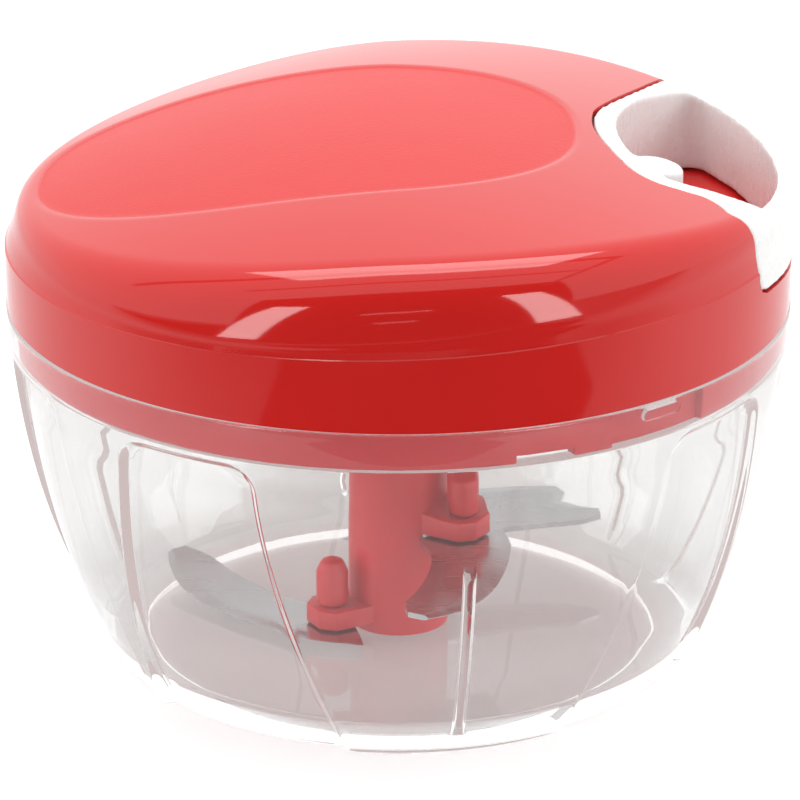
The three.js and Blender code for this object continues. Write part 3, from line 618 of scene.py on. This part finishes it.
inner_rows = (51.5, -1.3, 36)
band_rows = (57, 55.5, 54)
foot_edge_round = 0.5
rim_round = 0.5
rim_inner_round = 0.35
ledge_round = 0.25
wall_top_round = 0.3
floor_round = 2.2
flat_rings = 9
pedestal = (4.3, 5.0)
pedestal_rounds = (0.6, 0.3)
spindle_bore = (2.3, 1.3)
column_shares = (0, 0.09, 0.28, 0.46, 0.64, 0.84, 1)


def wall_radius(z):
    """The outer radius of the wall at a height, from a curve through three points."""
    low, high = 0.0, 1.0
    while high - low > 1e-6:
        t = (low + high) / 2
        if 2 * t * (1 - t) * bulge[1] + t * t * rim_height < z:
            low = t
        else:
            high = t
    t = low
    return (1 - t) ** 2 * foot_radius + 2 * t * (1 - t) * bulge[0] + t * t * rim_radius


def inner_radius(z):
    """The inner radius of the wall at a height."""
    grown = min(max(z, growth_span[0]), growth_span[1]) - growth_span[0]
    return wall_radius(z) - bowl_wall - wall_growth * grown


def field_edge(z):
    """Half the angle of a field at a height."""
    t = clamped(z / panel_top)
    return between(*field_half, 1 - (1 - t) ** field_edge_power)


def pillar_edge(z):
    """The angle from the middle of a field at which the next pillar begins."""
    return 60 - between(*pillar_half, clamped(z / panel_top))


def rows(first, step, count):
    return [first + step * i for i in range(count)]


def bowl_profile():
    """Points of the bowl's section, from its underside's middle round to the spindle's bore."""
    ledge = inner_radius(band_bottom)
    inside = rim_radius - band_wall
    profile = [(foot_inner * i / 6, floor_under) for i in range(6)]
    profile += arc((foot_inner - foot_edge_round, 0.1), foot_edge_round, 90, 0, 3)
    profile += [(foot_inner, 0), (45, 0)]
    profile += [(wall_radius(z) - foot_round * (1 - z / foot_round) ** 2, z) for z in foot_rows]
    profile += [(wall_radius(z), z) for span in outer_rows for z in rows(*span)]
    profile += arc((rim_radius - rim_round, rim_height - rim_round), rim_round, 0, 90, 4)
    profile += arc((inside + rim_inner_round, rim_height - rim_inner_round), rim_inner_round,
                   90, 180, 3)
    profile += [(inside, z) for z in band_rows]
    profile += arc((inside - ledge_round, band_bottom + ledge_round), ledge_round, 0, -90, 2)
    profile += [(between(inside, ledge, 0.5), band_bottom)]
    profile += arc((ledge - wall_top_round, band_bottom - wall_top_round), wall_top_round, 90, 0, 2)
    profile += [(inner_radius(z), z) for z in rows(*inner_rows)]
    corner = inner_radius(floor_top)
    profile += arc((corner - floor_round, floor_top + floor_round), floor_round, -20, -90, 5)
    profile += [(between(pedestal[0], corner - 3, 1 - i / flat_rings), floor_top)
                for i in range(flat_rings)]
    low_round, high_round = pedestal_rounds
    profile += arc((pedestal[0] + low_round, floor_top + low_round), low_round, -90, -180, 3)
    profile += arc((pedestal[0] - high_round, pedestal[1] - high_round), high_round, 0, 90, 3)
    profile += [(spindle_bore[0], pedestal[1]), spindle_bore, (0, spindle_bore[1])]
    return profile


def column_angle(share, z):
    """Slides a column: a share from 0, the middle of a field, to 1, the middle of a pillar."""
    edge, pillar = field_edge(z), pillar_edge(z)
    per_mm = math.degrees(1 / wall_radius(min(z, rim_height)))
    near = min(0.9 * per_mm, (60 - pillar) * 0.6)
    rib = 1.2 * per_mm
    angles = (0, rib, edge - near, edge + near, pillar - near, pillar + near, 60)
    spans = zip(column_shares, column_shares[1:], angles, angles[1:])
    for low, high, first, last in spans:
        if share <= high:
            return between(first, last, (share - low) / (high - low))
    return 60.0


def panel_depth_at(angle, z):
    """How far the outside is set in at an angle from the middle of the nearest field."""
    radius = wall_radius(z)
    from_field = math.radians(angle - field_edge(z)) * radius
    from_pillar = math.radians(pillar_edge(z) - angle) * radius
    across = min(from_field, from_pillar)
    down = panel_top - z
    inside = min(across, down)
    if across < panel_corner and down < panel_corner:
        inside = panel_corner - math.hypot(panel_corner - across, panel_corner - down)
    foot = 1 - min(1, z / panel_foot_rise)
    depth = between(panel_depth, panel_foot_depth, foot * foot)
    return depth * soft_step(inside / panel_edge + 0.5)


def shape_bowl(bm):
    """Slides the columns, sinks the panels and raises the three inner ribs."""
    for v in bm.verts:
        radius = math.hypot(v.co.x, v.co.y)
        if radius < 1e-3:
            continue
        z = v.co.z
        turn = math.degrees(math.atan2(v.co.y, v.co.x)) % 120
        side = 1 if turn <= 60 else -1
        share = (turn if side > 0 else 120 - turn) / 60
        third = math.degrees(math.atan2(v.co.y, v.co.x)) // 120 * 120
        angle = column_angle(share, z)
        outer = wall_radius(min(max(z, 0), rim_height))
        if outer - radius < foot_round + 0.02 and z < band_bottom:
            radius -= panel_depth_at(angle, z)
        inner = inner_radius(z)
        if abs(radius - inner) < 0.05 and floor_top + 2 < z < rib_top + 1:
            sideways = math.radians(angle) * radius / rib_half_width
            end = soft_step((rib_top - z) / rib_fade)
            radius -= rib_depth * end * math.sqrt(1 - clamped(sideways) ** 2)
        a = math.radians(field_centre + third + (angle if side > 0 else 120 - angle))
        v.co.x = radius * math.cos(a)
        v.co.y = radius * math.sin(a)


# %% Bowl mesh with its lugs
lug_centre = -51.0
lug_size = (7.2, 1.8, 0.8)
lug_height = 56.4


def lug(angle):
    """A lug with round ends on the band's inside, which the lid's track turns under."""
    bm = bmesh.new()
    bmesh.ops.create_circle(bm, cap_ends=True, segments=32, radius=lug_size[1] / 2)
    spread = (lug_size[0] - lug_size[1]) / 2
    for v in bm.verts:
        v.co.x += spread if v.co.x > 1e-6 else -spread
    raised(bm, list(bm.faces), lug_size[2] + band_wall / 2)
    middle = rim_radius - band_wall / 2
    a = math.radians(angle)
    stand = Matrix.Translation((middle * math.cos(a), middle * math.sin(a), lug_height))
    face_in = Matrix.Rotation(a + quarter, 4, "Z") @ Matrix.Rotation(-quarter, 4, "X")
    bmesh.ops.transform(bm, matrix=stand @ face_in, verts=bm.verts)
    return to_object("lug", bm)


bowl_bm = spun(bowl_profile(), columns_per_half * 6)
shape_bowl(bowl_bm)
bmesh.ops.recalc_face_normals(bowl_bm, faces=bowl_bm.faces)
bowl_scratch = to_object("bowl_scratch", bowl_bm)
for third in range(3):
    combine(bowl_scratch, lug(lug_centre + 120 * third), "UNION")
hand_over("clear_bowl", from_object(bowl_scratch), clear_finish, "bowl", ["bowl"])

# %% [markdown]
# ## The lid's shape
# The dome is highest near the middle, falls off gently toward the handle and more steeply away
# from it, and drops a little to the front and back. Its wall leans in a bit, most of all at the end
# away from the handle, and below a faint crease it stands upright as a skirt. One function gives
# the place of any point by a label: 0 in the middle of the dome, 1 where the edge begins to round,
# 2 below the round edge, 3 at the crease, 4 at the foot and 5 in the middle of the underside.

# %% Lid sizes and surface
lid_radius = 62.3
skirt_taper = 0.05
crown_peak_x = -1.1
crown_falls = ((13.1, 1.7), (8.4, 2))
crown_side = 4.6
crown_twist = 0.75
crown_tilt = 0.3
crease_rise = 11.2
crease_tilt = 1.8
lean_shares = (0.38, 0.02, 0.18)
edge_reach = ((1.6, 1.6), (6.5, 9.5))
cover_wall = 2.2
lid_foot = rim_height + 0.05
crown_peak = rim_height + 28.2
pad_centre = -14.5
pad_half = (43.1, 33.5)
pad_power = 2.35
pad_widening = 0.05
pad_sink = 0.35
pad_shoulder = 1.5
crease_step = 0.15


def crown_height(x, y):
    along = x - crown_peak_x
    fall, power = crown_falls[0] if along < 0 else crown_falls[1]
    fallen = fall * abs(along / lid_radius) ** power
    side = crown_side * (1 - crown_twist * x / lid_radius)
    return crown_peak - fallen - side * (y / lid_radius) ** 2 + crown_tilt * y / lid_radius


def pad_inside(x, y):
    """How far a point lies inside the pad's outline, in millimetres."""
    u = (x - pad_centre) / pad_half[0]
    v = y / (pad_half[1] * (1 + pad_widening * u))
    level = (abs(u) ** pad_power + abs(v) ** pad_power) ** (1 / pad_power)
    return (1 - level) * between(pad_half[1], pad_half[0], u * u / max(1e-9, u * u + v * v))


def lid_point(label, angle, inset, foot):
    """The place of a label on the lid's surface, or on a surface set in behind it."""
    c, s = math.cos(angle), math.sin(angle)
    lean_end = lean_shares[0] if c < 0 else lean_shares[2]
    lean = lean_shares[1] + (lean_end - lean_shares[1]) * c * c
    crease = rim_height + crease_rise + crease_tilt * c
    crease_radius = lid_radius - skirt_taper - inset

    def dome(r):
        return crown_height(r * c, r * s) - inset

    inward, down = (between(end, front, s * s) for end, front in zip(*edge_reach))
    corner_z = crease + down
    for _ in range(12):
        corner_r = crease_radius - lean * (corner_z - crease)
        corner_z = dome(corner_r)
    reach = math.hypot(lean, 1)
    below = Vector((corner_r + down * lean / reach, corner_z - down / reach))
    within = Vector((corner_r - inward, dome(corner_r - inward)))
    if label <= 1:
        r = within.x * label
        z = dome(r)
        if inset == 0:
            z -= pad_sink * soft_step(pad_inside(r * c, r * s) / pad_shoulder)
    elif label <= 2:
        t = label - 1
        corner = Vector((corner_r, corner_z))
        r, z = (1 - t) ** 2 * within + 2 * t * (1 - t) * corner + t * t * below
    elif label <= 3:
        r, z = below.lerp(Vector((crease_radius, crease)), label - 2)
        r -= crease_step * soft_step((label - 2) / 0.5) * soft_step((3 - label) / 0.05)
    elif label <= 4:
        r, z = Vector((crease_radius, crease)).lerp(Vector((lid_radius - inset, foot)), label - 3)
    else:
        r, z = (lid_radius - inset) * (5 - label), foot
    return r * c, r * s, z


def lid_solid(name, columns, rings, inset, foot):
    """A closed solid under the lid's surface: a disc of rings, moved ring by ring onto it."""
    labels = [i / rings for i in range(rings + 1)]
    labels += [1 + i / 16 for i in range(1, 17)]
    labels += [2 + i / 10 for i in range(1, 10)] + [2.95, 2.975, 3]
    labels += [3 + i / 6 for i in range(1, 7)]
    labels += [4.5, 5]
    bm = bmesh.new()
    verts = [bm.verts.new((label + 1, 0, 0)) for label in labels]
    edges = [bm.edges.new(pair) for pair in zip(verts, verts[1:])]
    bmesh.ops.spin(
        bm, geom=verts + edges, cent=(0, 0, 0), axis=(0, 0, 1), angle=2 * math.pi,
        steps=columns, use_merge=True,
    )
    for v in bm.verts:
        label = math.hypot(v.co.x, v.co.y) - 1
        v.co = lid_point(max(0.0, label), math.atan2(v.co.y, v.co.x), inset, foot)
    bmesh.ops.remove_doubles(bm, verts=bm.verts, dist=1e-3)
    bmesh.ops.recalc_face_normals(bm, faces=bm.faces)
    return to_object(name, bm)


# %% [markdown]
# ## The handle's space
# Seen from above, the handle is a wide wing that fills a bay in the lid's end. Seen from the end
# that it pulls to, its lower edge is level in the middle and climbs toward both sides. The bay in
# the lid is the same outline grown by a small gap, so lid and handle are cut from one drawing.

# %% Outline of the handle and its bay
handle_front = [
    (0.97, -0.5), (0.85, -0.496), (0.796, -0.478), (0.773, -0.43), (0.74, -0.391), (0.689, -0.371),
    (0.62, -0.337), (0.567, -0.262), (0.522, -0.117),
]
handle_back = [
    (0.5, -0.01), (0.497, 0.08), (0.51, 0.175), (0.546, 0.265), (0.592, 0.36), (0.639, 0.454),
    (0.7, 0.58), (0.81, 0.79),
]
face_front = [
    (-0.13, 0), (-0.33, 0.062), (-0.44, 0.085), (-0.468, 0.12), (-0.484, 0.2), (-0.49, 0.373),
    (-0.495, 0.6), (-0.51, 1.1),
]
face_back = [
    (1, 1.1), (0.8, 0.6), (0.72, 0.41), (0.68, 0.3), (0.66, 0.2), (0.64, 0.12), (0.55, 0.085),
    (0.35, 0.062), (0.13, 0),
]
opening_inner = [
    (0.835, 0.463), (0.815, 0.503), (0.775, 0.518), (0.735, 0.492), (0.69, 0.438), (0.632, 0.36),
    (0.58, 0.225), (0.556, 0.09), (0.565, -0.07), (0.604, -0.2), (0.655, -0.285), (0.703, -0.312),
    (0.758, -0.325), (0.819, -0.348), (0.873, -0.371),
]
opening_ends = (-23, 29)
handle_gap = 0.3
recess_wall = 1.8
bar_thickness = 2.8
boss = (0.64 * lid_radius, low_high("cord_lead")[0].y + 0.8, 4.0)
handle_foot = low_high("pull_handle")[0].z
face_height = crown_peak - handle_foot
beyond_lid = lid_radius + 6
over = 1.0
pad_grain = (0.0006, 0.00006)
pad_edge = (0.6, 0.012)
top_from = 12.0


def spline(points, steps):
    """A smooth curve through points, as (x, y) pairs."""
    curve = []
    last = len(points) - 1
    for k in range(steps + 1):
        place = last * k / steps
        i = min(int(place), last - 1)
        t = place - i
        p0, p1 = Vector(points[max(i - 1, 0)]), Vector(points[i])
        p2, p3 = Vector(points[i + 1]), Vector(points[min(i + 2, last)])
        first, second = (p2 - p0) / 2, (p3 - p1) / 2
        cubic = (2 * p1 - 2 * p2 + first + second) * t ** 3
        square = (-3 * p1 + 3 * p2 - 2 * first - second) * t ** 2
        curve.append(cubic + square + first * t + p1)
    return curve


def handle_space(name, grown, steps):
    """The handle's outline from above, kept inside its outline from the end, as a solid."""
    plan = [p * lid_radius for p in spline(handle_front + handle_back, steps)]
    outline = []
    for i, p in enumerate(plan):
        ahead = (plan[min(i + 1, len(plan) - 1)] - plan[max(i - 1, 0)]).normalized()
        outline.append((p.x - ahead.y * grown, p.y + ahead.x * grown))
    outline = [(beyond_lid, outline[0][1])] + outline + [(beyond_lid, outline[-1][1])]
    low = handle_foot - grown
    body = to_object(name, prism(outline, low, crown_peak + over))
    face = []
    for shares, sign in ((face_front, -1), (face_back, 1)):
        drawn = [Vector(p) for p in shares]
        face += [(p.x * lid_radius + sign * grown, low + p.y * face_height) for p in drawn]
    end = prism(face, 0, beyond_lid + over)
    # The prism stands on X-Y, so it is laid down: its x becomes Y, its y Z and its z X.
    laid_down = Matrix(((0, 0, 1, 0), (1, 0, 0, 0), (0, 1, 0, 0), (0, 0, 0, 1)))
    bmesh.ops.transform(end, matrix=laid_down, verts=end.verts)
    return combine(body, to_object("end", end), "INTERSECT")


# %% [markdown]
# ## Red plastic
# The lid's plastic is a saturated red with a hard polish. Its grip pad on top is the same plastic,
# grained in the mould, so it scatters the overhead light and looks paler. The pad's outline is one
# formula, used for the mesh above and again for the grain here.

# %% Red finishes
red = (0.64, 0.016, 0.0125, 1)
red_deep = (0.58, 0.012, 0.01, 1)
inner_reds = ((0.74, 0.026, 0.036, 1), (0.68, 0.02, 0.03, 1))


def red_gloss():
    finish = Finish("red_gloss", IOR=1.5)
    x, y, z = finish.axes()
    u = (x - pad_centre * mm) / (pad_half[0] * mm)
    v = y / (pad_half[1] * mm * (u * pad_widening + 1))
    level = (u.size() ** pad_power + v.size() ** pad_power) ** (1 / pad_power)
    on_top = z.above((rim_height + top_from) * mm, 0.5 * mm)
    pad = (1 - level.above(1 - pad_edge[0] / pad_half[1], pad_edge[1])) * on_top
    grain = finish.noise(pad_grain[0], 3.0)
    flow = finish.noise(0.05)
    finish.set(
        Base_Color=finish.tint(flow, red, red_deep),
        Roughness=pad * 0.36 + finish.noise(0.012, 3.0) * 0.03 + 0.055,
    )
    finish.bump(grain * pad, pad_grain[1])
    return finish


def moulded(name, shades, flow, mottle, polish, **constants):
    """A moulded plastic: two shades that flow into each other, and an uneven polish."""
    finish = Finish(name, IOR=1.5, **constants)
    finish.set(
        Base_Color=finish.tint(finish.noise(flow), *shades),
        Roughness=finish.noise(mottle, 3.0) * polish[0] + polish[1],
    )
    return finish


red_gloss_finish = red_gloss()
red_satin_finish = moulded("red_satin", inner_reds, 0.03, 0.004, (0.1, 0.3))
red_satin_finish.bump(red_satin_finish.noise(0.0008), 0.00001)
print("finish: red gloss with its grained pad, red satin")

# %% [markdown]
# ## The lid cover
# The cover is a shell, so it is cut like one: a solid under the dome, less the hollow behind the
# wall, less the handle's bay. The bay keeps its own wall and floor, because the hollow stops short
# of a wider copy of the same outline.

# %% Lid cover mesh
post_angles = (60, 180, 300)
post_reach = 45.0
post_radius = 3.6
post_bore = (1.6, 8.0)
eyelet_hole = (2.7, 12)
lid_columns = 288
lid_rings = 100
outline_steps = 96


def upright(name, x, y, radius, low, high):
    """A plain upright cylinder as a scratch object."""
    bm = bmesh.new()
    bmesh.ops.create_cone(
        bm, cap_ends=True, segments=48, radius1=radius, radius2=radius, depth=high - low,
        matrix=Matrix.Translation((x, y, (low + high) / 2)),
    )
    return to_object(name, bm)


def screw_post(stand):
    """A post that a cover screw goes up into."""
    foot = lid_low.z
    post = upright("post", *stand, post_radius, foot, crown_peak)
    bore = upright("bore", *stand, post_bore[0], foot - over, foot + post_bore[1])
    return combine(post, bore, "DIFFERENCE")


cover = lid_solid("cover_scratch", lid_columns, lid_rings, 0, lid_foot)
hollow = lid_solid("hollow", 96, 14, cover_wall, lid_foot - over)
combine(hollow, handle_space("bay_wall", handle_gap + recess_wall, 40), "DIFFERENCE")
for angle in post_angles:
    a = math.radians(angle)
    stand = (post_reach * math.cos(a), post_reach * math.sin(a))
    combine(hollow, screw_post(stand), "DIFFERENCE")
combine(cover, hollow, "DIFFERENCE")
combine(cover, handle_space("bay", handle_gap, outline_steps), "DIFFERENCE")
eyelet_low, eyelet_high = low_high("cord_eyelet")
stand = Matrix.Translation((eyelet_low + eyelet_high) / 2) @ Matrix.Rotation(quarter, 4, "Y")
eyelet_bm = bmesh.new()
bmesh.ops.create_cone(
    eyelet_bm, cap_ends=True, segments=40, radius1=eyelet_hole[0], radius2=eyelet_hole[0],
    depth=eyelet_hole[1], matrix=stand,
)
combine(cover, to_object("eyelet_hole", eyelet_bm), "DIFFERENCE")
hand_over("lid_shell", from_object(cover), red_gloss_finish, "lid", ["lid_cover"])

# %% [markdown]
# ## White plastic and the handle
# The handle's edges are soft all round, about a millimetre, as on anything made to be pulled with
# bare fingers. Rounding that many meeting edges one by one is fragile, so the sharp handle is
# rebuilt as an even skin of small faces, and that skin is relaxed until its edges turn soft.

# %% Handle mesh
handle_voxel = 0.3
handle_relax = 14
white_shades = ((0.88, 0.88, 0.87, 1), (0.84, 0.84, 0.83, 1))
glow_depth = (0.004, 0.003, 0.003)
fine_steps = 192
opening_steps = 160
bar_steps = 72


def relaxed(made, voxel, rounds):
    """An even skin of small faces over a scratch object, with its edges softened."""
    apply_modifier(made, "REMESH", mode="VOXEL", voxel_size=voxel)
    bm = from_object(made)
    for _ in range(rounds):
        bmesh.ops.smooth_vert(
            bm, verts=bm.verts, factor=0.5, use_axis_x=True, use_axis_y=True, use_axis_z=True,
        )
    return bm


white_finish = moulded(
    "white_plastic", white_shades, 0.02, 0.003, (0.1, 0.22),
    Subsurface_Weight=0.15, Subsurface_Radius=glow_depth,
)
white_finish.bump(white_finish.noise(0.0012), 0.00001)
inner = [tuple(p * lid_radius) for p in spline(opening_inner, opening_steps)]
bar_line = arc((0, 0), lid_radius - skirt_taper - bar_thickness, *opening_ends, bar_steps)
opening = prism(inner + bar_line, handle_foot - over, crown_peak + 2 * over)
handle = handle_space("handle_scratch", 0, fine_steps)
combine(handle, to_object("opening", opening), "DIFFERENCE")
combine(handle, upright("boss", *boss, handle_foot, crown_peak), "UNION")
combine(handle, handle_space("handle_whole", 0, fine_steps), "INTERSECT")
combine(handle, lid_solid("under_dome", 216, 60, 0, lid_foot - over), "INTERSECT")
hand_over("handle_grip", relaxed(handle, handle_voxel, handle_relax), white_finish, "handle",
          ["pull_handle"])

# %% [markdown]
# ## Plain mouldings, copied from the frame
# The hub, the lid's base, the spool and the small turned pieces are right as they are in the frame,
# only too sharp: on real mouldings every edge catches a thin line of light. Each one is copied, its
# loose triangles are joined, flat areas become single faces, and its sharp edges are bevelled.

# %% Rounded copies
crisp_angle = math.radians(38)


def rounded_copy(name, node, finish, body, width, segments=2):
    bm = bmesh.new()
    bm.from_mesh(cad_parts[node].data)
    bmesh.ops.scale(bm, vec=(1 / mm,) * 3, verts=bm.verts)
    bmesh.ops.remove_doubles(bm, verts=bm.verts, dist=0.002)
    bmesh.ops.dissolve_limit(bm, angle_limit=math.radians(1), verts=bm.verts, edges=bm.edges)
    sharp = [e for e in bm.edges if len(e.link_faces) == 2 and e.calc_face_angle(0) > crisp_angle]
    bmesh.ops.bevel(
        bm, geom=sharp, offset=width, affect="EDGES", segments=segments, profile=0.5, material=-1,
        clamp_overlap=True,
    )
    return hand_over(name, bm, finish, body, [node])


rounded_copy("hub_body", "blade_hub", red_satin_finish, "blade_unit", 0.35, 3)
for level in ("low", "mid", "high"):
    rounded_copy(
        f"peg_{level}", f"blade_pin_{level}", red_satin_finish, "blade_unit", 0.3,
    )
rounded_copy("lid_floor", "lid_base", red_satin_finish, "lid", 0.2)

# %% [markdown]
# ## Steel
# The blades are brushed along their length. Brushing is a noise stretched far along one direction,
# used twice, as fine scratches in the bump and as streaks in the roughness.

# %% Steel finishes
steel_bright = (0.66, 0.66, 0.67, 1)
steel_dull = (0.5, 0.5, 0.51, 1)


def brushed_steel(name, turn):
    finish = Finish(name, Metallic=1.0)
    streaks = finish.noise(0.0012, 3.0, stretch=(0.04, 1, 1), turn=(0, 0, turn))
    stain = finish.noise(0.012, 3.0)
    finish.set(
        Base_Color=finish.tint(stain, steel_bright, steel_dull),
        Roughness=streaks * 0.18 + 0.16,
    )
    finish.bump(streaks, 0.000008)
    return finish


# %% [markdown]
# ## The blades
# Each blade is one strip of sheet steel between two curves, a hollow one behind and a full one in
# front. A grid is laid between the two curves, thickened, and thinned again toward the cutting
# edge. The low and the high blade are bent up at the tip, so the three sweep different heights.

# %% Blade meshes
blade_reach = 43.5
blade_thick = 0.9
plate_middle = 0.5
tip_rises = {"low": 3.0, "mid": 0.0, "high": 1.5}
bend_share = 0.3
grind_share = 0.25
edge_thick_share = 0.15
blade_outer = [
    (0.268, 0.221), (0.365, 0.137), (0.462, 0.03), (0.518, -0.078), (0.578, -0.23), (0.622, -0.392),
    (0.641, -0.573), (0.62, -0.7), (0.593, -0.782),
]
blade_inner = [
    (0.2, 0), (0.165, -0.116), (0.252, -0.2), (0.315, -0.291), (0.371, -0.423), (0.416, -0.565),
    (0.45, -0.7), (0.513, -0.789),
]
arm_angles = {"low": -151, "mid": -271, "high": -31}
waist_radius = 8.45


def blade_mesh(level):
    """A strip between the two edges of a blade, at its height, turned to its arm."""
    steps = (60, 16)
    outer = spline(blade_outer, steps[0])
    inner_edge = spline(blade_inner, steps[0])
    bm = bmesh.new()
    layer = bm.verts.layers.float.new("across")
    bmesh.ops.create_grid(bm, x_segments=steps[0], y_segments=steps[1], size=0.5)
    low = low_high(f"blade_{level}")[0]
    for v in bm.verts:
        along = round((v.co.x + 0.5) * steps[0])
        across = v.co.y + 0.5
        place = inner_edge[along].lerp(outer[along], across) * blade_reach
        place *= max(1, waist_radius / place.length)
        v[layer] = across
        v.co = (place.x, place.y, 0)
    bmesh.ops.recalc_face_normals(bm, faces=bm.faces)
    bmesh.ops.solidify(bm, geom=list(bm.faces), thickness=blade_thick)
    middle = sum(v.co.z for v in bm.verts) / len(bm.verts)
    bend_start = -bend_share * blade_reach
    tip_y = blade_inner[-1][1] * blade_reach
    for v in bm.verts:
        worn = soft_step((v[layer] - (1 - grind_share)) / grind_share)
        level_share = between(1, edge_thick_share, worn)
        bent = clamped((v.co.y - bend_start) / (tip_y - bend_start))
        rise = plate_middle + tip_rises[level] * bent ** 2
        v.co.z = low.z + rise + (v.co.z - middle) * level_share
    turn = Matrix.Rotation(math.radians(arm_angles[level]), 4, "Z")
    bmesh.ops.transform(bm, matrix=turn, verts=bm.verts)
    bmesh.ops.recalc_face_normals(bm, faces=bm.faces)
    return bm


for level, angle in arm_angles.items():
    finish = brushed_steel(f"blade_steel_{level}", math.radians(60 - angle))
    hand_over(
        f"cutter_{level}", blade_mesh(level), finish, "blade_unit",
        [f"blade_{level}"],
    )

# %% [markdown]
# ## Inner pieces
# What the lid hides is plain: a natural-coloured spool and cap, steel screws, a steel spring. They
# show when the lid is lifted or the handle is out.

# %% Inner finishes and copies
natural_shades = ((0.68, 0.68, 0.65, 1), (0.62, 0.62, 0.6, 1))

grey_finish = moulded("natural_plastic", natural_shades, 0.02, 0.002, (0.15, 0.38))
steel_finish = brushed_steel("steel", 0.0)
for name, node, body, width in (
    ("spool_body", "spool", "spool", 0.2),
    ("cap_plate", "mechanism_cap", "lid", 0.2),
    ("thrust_washer", "spool_washer", "lid", 0.15),
    ("foot_bush", "hub_bush", "blade_unit", 0.2),
):
    rounded_copy(name, node, grey_finish, body, width)
rounded_copy("spindle_pin", "bowl_spindle", steel_finish, "bowl", 0.2)
rounded_copy("eyelet_ring", "cord_eyelet", white_finish, "lid", 0.4, 3)
for part, count in (("cap", 4), ("cover", 3)):
    for i in range(1, count + 1):
        rounded_copy(f"{part}_fixing_{i}", f"{part}_screw_{i}", steel_finish, "lid", 0.12)
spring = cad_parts["recoil_spring"]
spring.data.materials.clear()
spring.data.materials.append(steel_finish.material)

# %% [markdown]
# ## The cord
# The pull cord is three thin strands laid together. One strand is a small ring, carried along and
# round the cord's line in one spin, and the other two are the same strand turned a third of the
# way. The free stretch is left in place and tied to no body. On the drum the cord is a plain helix.

# %% Cord meshes
cord_radius = 0.8
strand_radius = 0.42
strand_pitch = 3.2
cord_colour = (0.84, 0.83, 0.79, 1)
cord_shade = (0.66, 0.65, 0.61, 1)
wound_turns = 4


def cord_finish():
    finish = Finish("cord_fibre", Roughness=0.85)
    fibre = finish.noise(0.0005, 2.0)
    finish.set(Base_Color=finish.tint(fibre, cord_colour, cord_shade))
    finish.bump(fibre, 0.00008)
    return finish


def helix(ring_radius, path_radius, rise_per_turn, turns, steps_per_turn, first_angle, sides):
    """A round tube wound about the Z axis."""
    bm = bmesh.new()
    ring = bmesh.ops.create_circle(bm, cap_ends=False, segments=sides, radius=ring_radius)["verts"]
    stand = Matrix.Rotation(first_angle, 4, "Z") @ Matrix.Translation((path_radius, 0, 0))
    bmesh.ops.transform(bm, matrix=stand @ Matrix.Rotation(quarter, 4, "X"), verts=ring)
    steps = round(turns * steps_per_turn)
    bmesh.ops.spin(
        bm, geom=list(bm.verts) + list(bm.edges), cent=(0, 0, 0), axis=(0, 0, 1),
        angle=2 * math.pi * turns, steps=steps, dvec=(0, 0, rise_per_turn / steps_per_turn),
    )
    bmesh.ops.holes_fill(bm, edges=[e for e in bm.edges if e.is_boundary], sides=sides)
    bmesh.ops.recalc_face_normals(bm, faces=bm.faces)
    return bm


cord_material = cord_finish()
lead_low, lead_high = low_high("cord_lead")
lead_middle = (lead_low + lead_high) / 2
lead_turns = (lead_high.x - lead_low.x) / strand_pitch
lead = bmesh.new()
for k in range(3):
    strand = helix(
        strand_radius, cord_radius - strand_radius, strand_pitch, lead_turns, 16,
        2 * math.pi * k / 3, 10,
    )
    part = bpy.data.meshes.new("strand")
    strand.to_mesh(part)
    strand.free()
    lead.from_mesh(part)
    bpy.data.meshes.remove(part)
lead_start = Matrix.Translation((lead_low.x, lead_middle.y, lead_middle.z))
along_x = lead_start @ Matrix.Rotation(quarter, 4, "Y")
bmesh.ops.transform(lead, matrix=along_x, verts=lead.verts)
cord_stretch = hand_over("cord_stretch", lead, cord_material, None, ["cord_lead"])
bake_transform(cord_stretch)

wound_low, wound_high = low_high("cord_winding")
wound_radius = wound_high.x - cord_radius
wound_rise = (wound_high.z - wound_low.z - 2 * cord_radius) / wound_turns
wound = helix(cord_radius, wound_radius, wound_rise, wound_turns, 72, -quarter, 12)
bmesh.ops.translate(wound, vec=(0, 0, wound_low.z + cord_radius), verts=wound.verts)
hand_over("cord_on_drum", wound, cord_material, "spool", ["cord_winding"])
rounded_copy("knot", "cord_knot", cord_material, "handle", 0.3)

# %% [markdown]
# ## Handing over

# %% Finish
print("scene built")
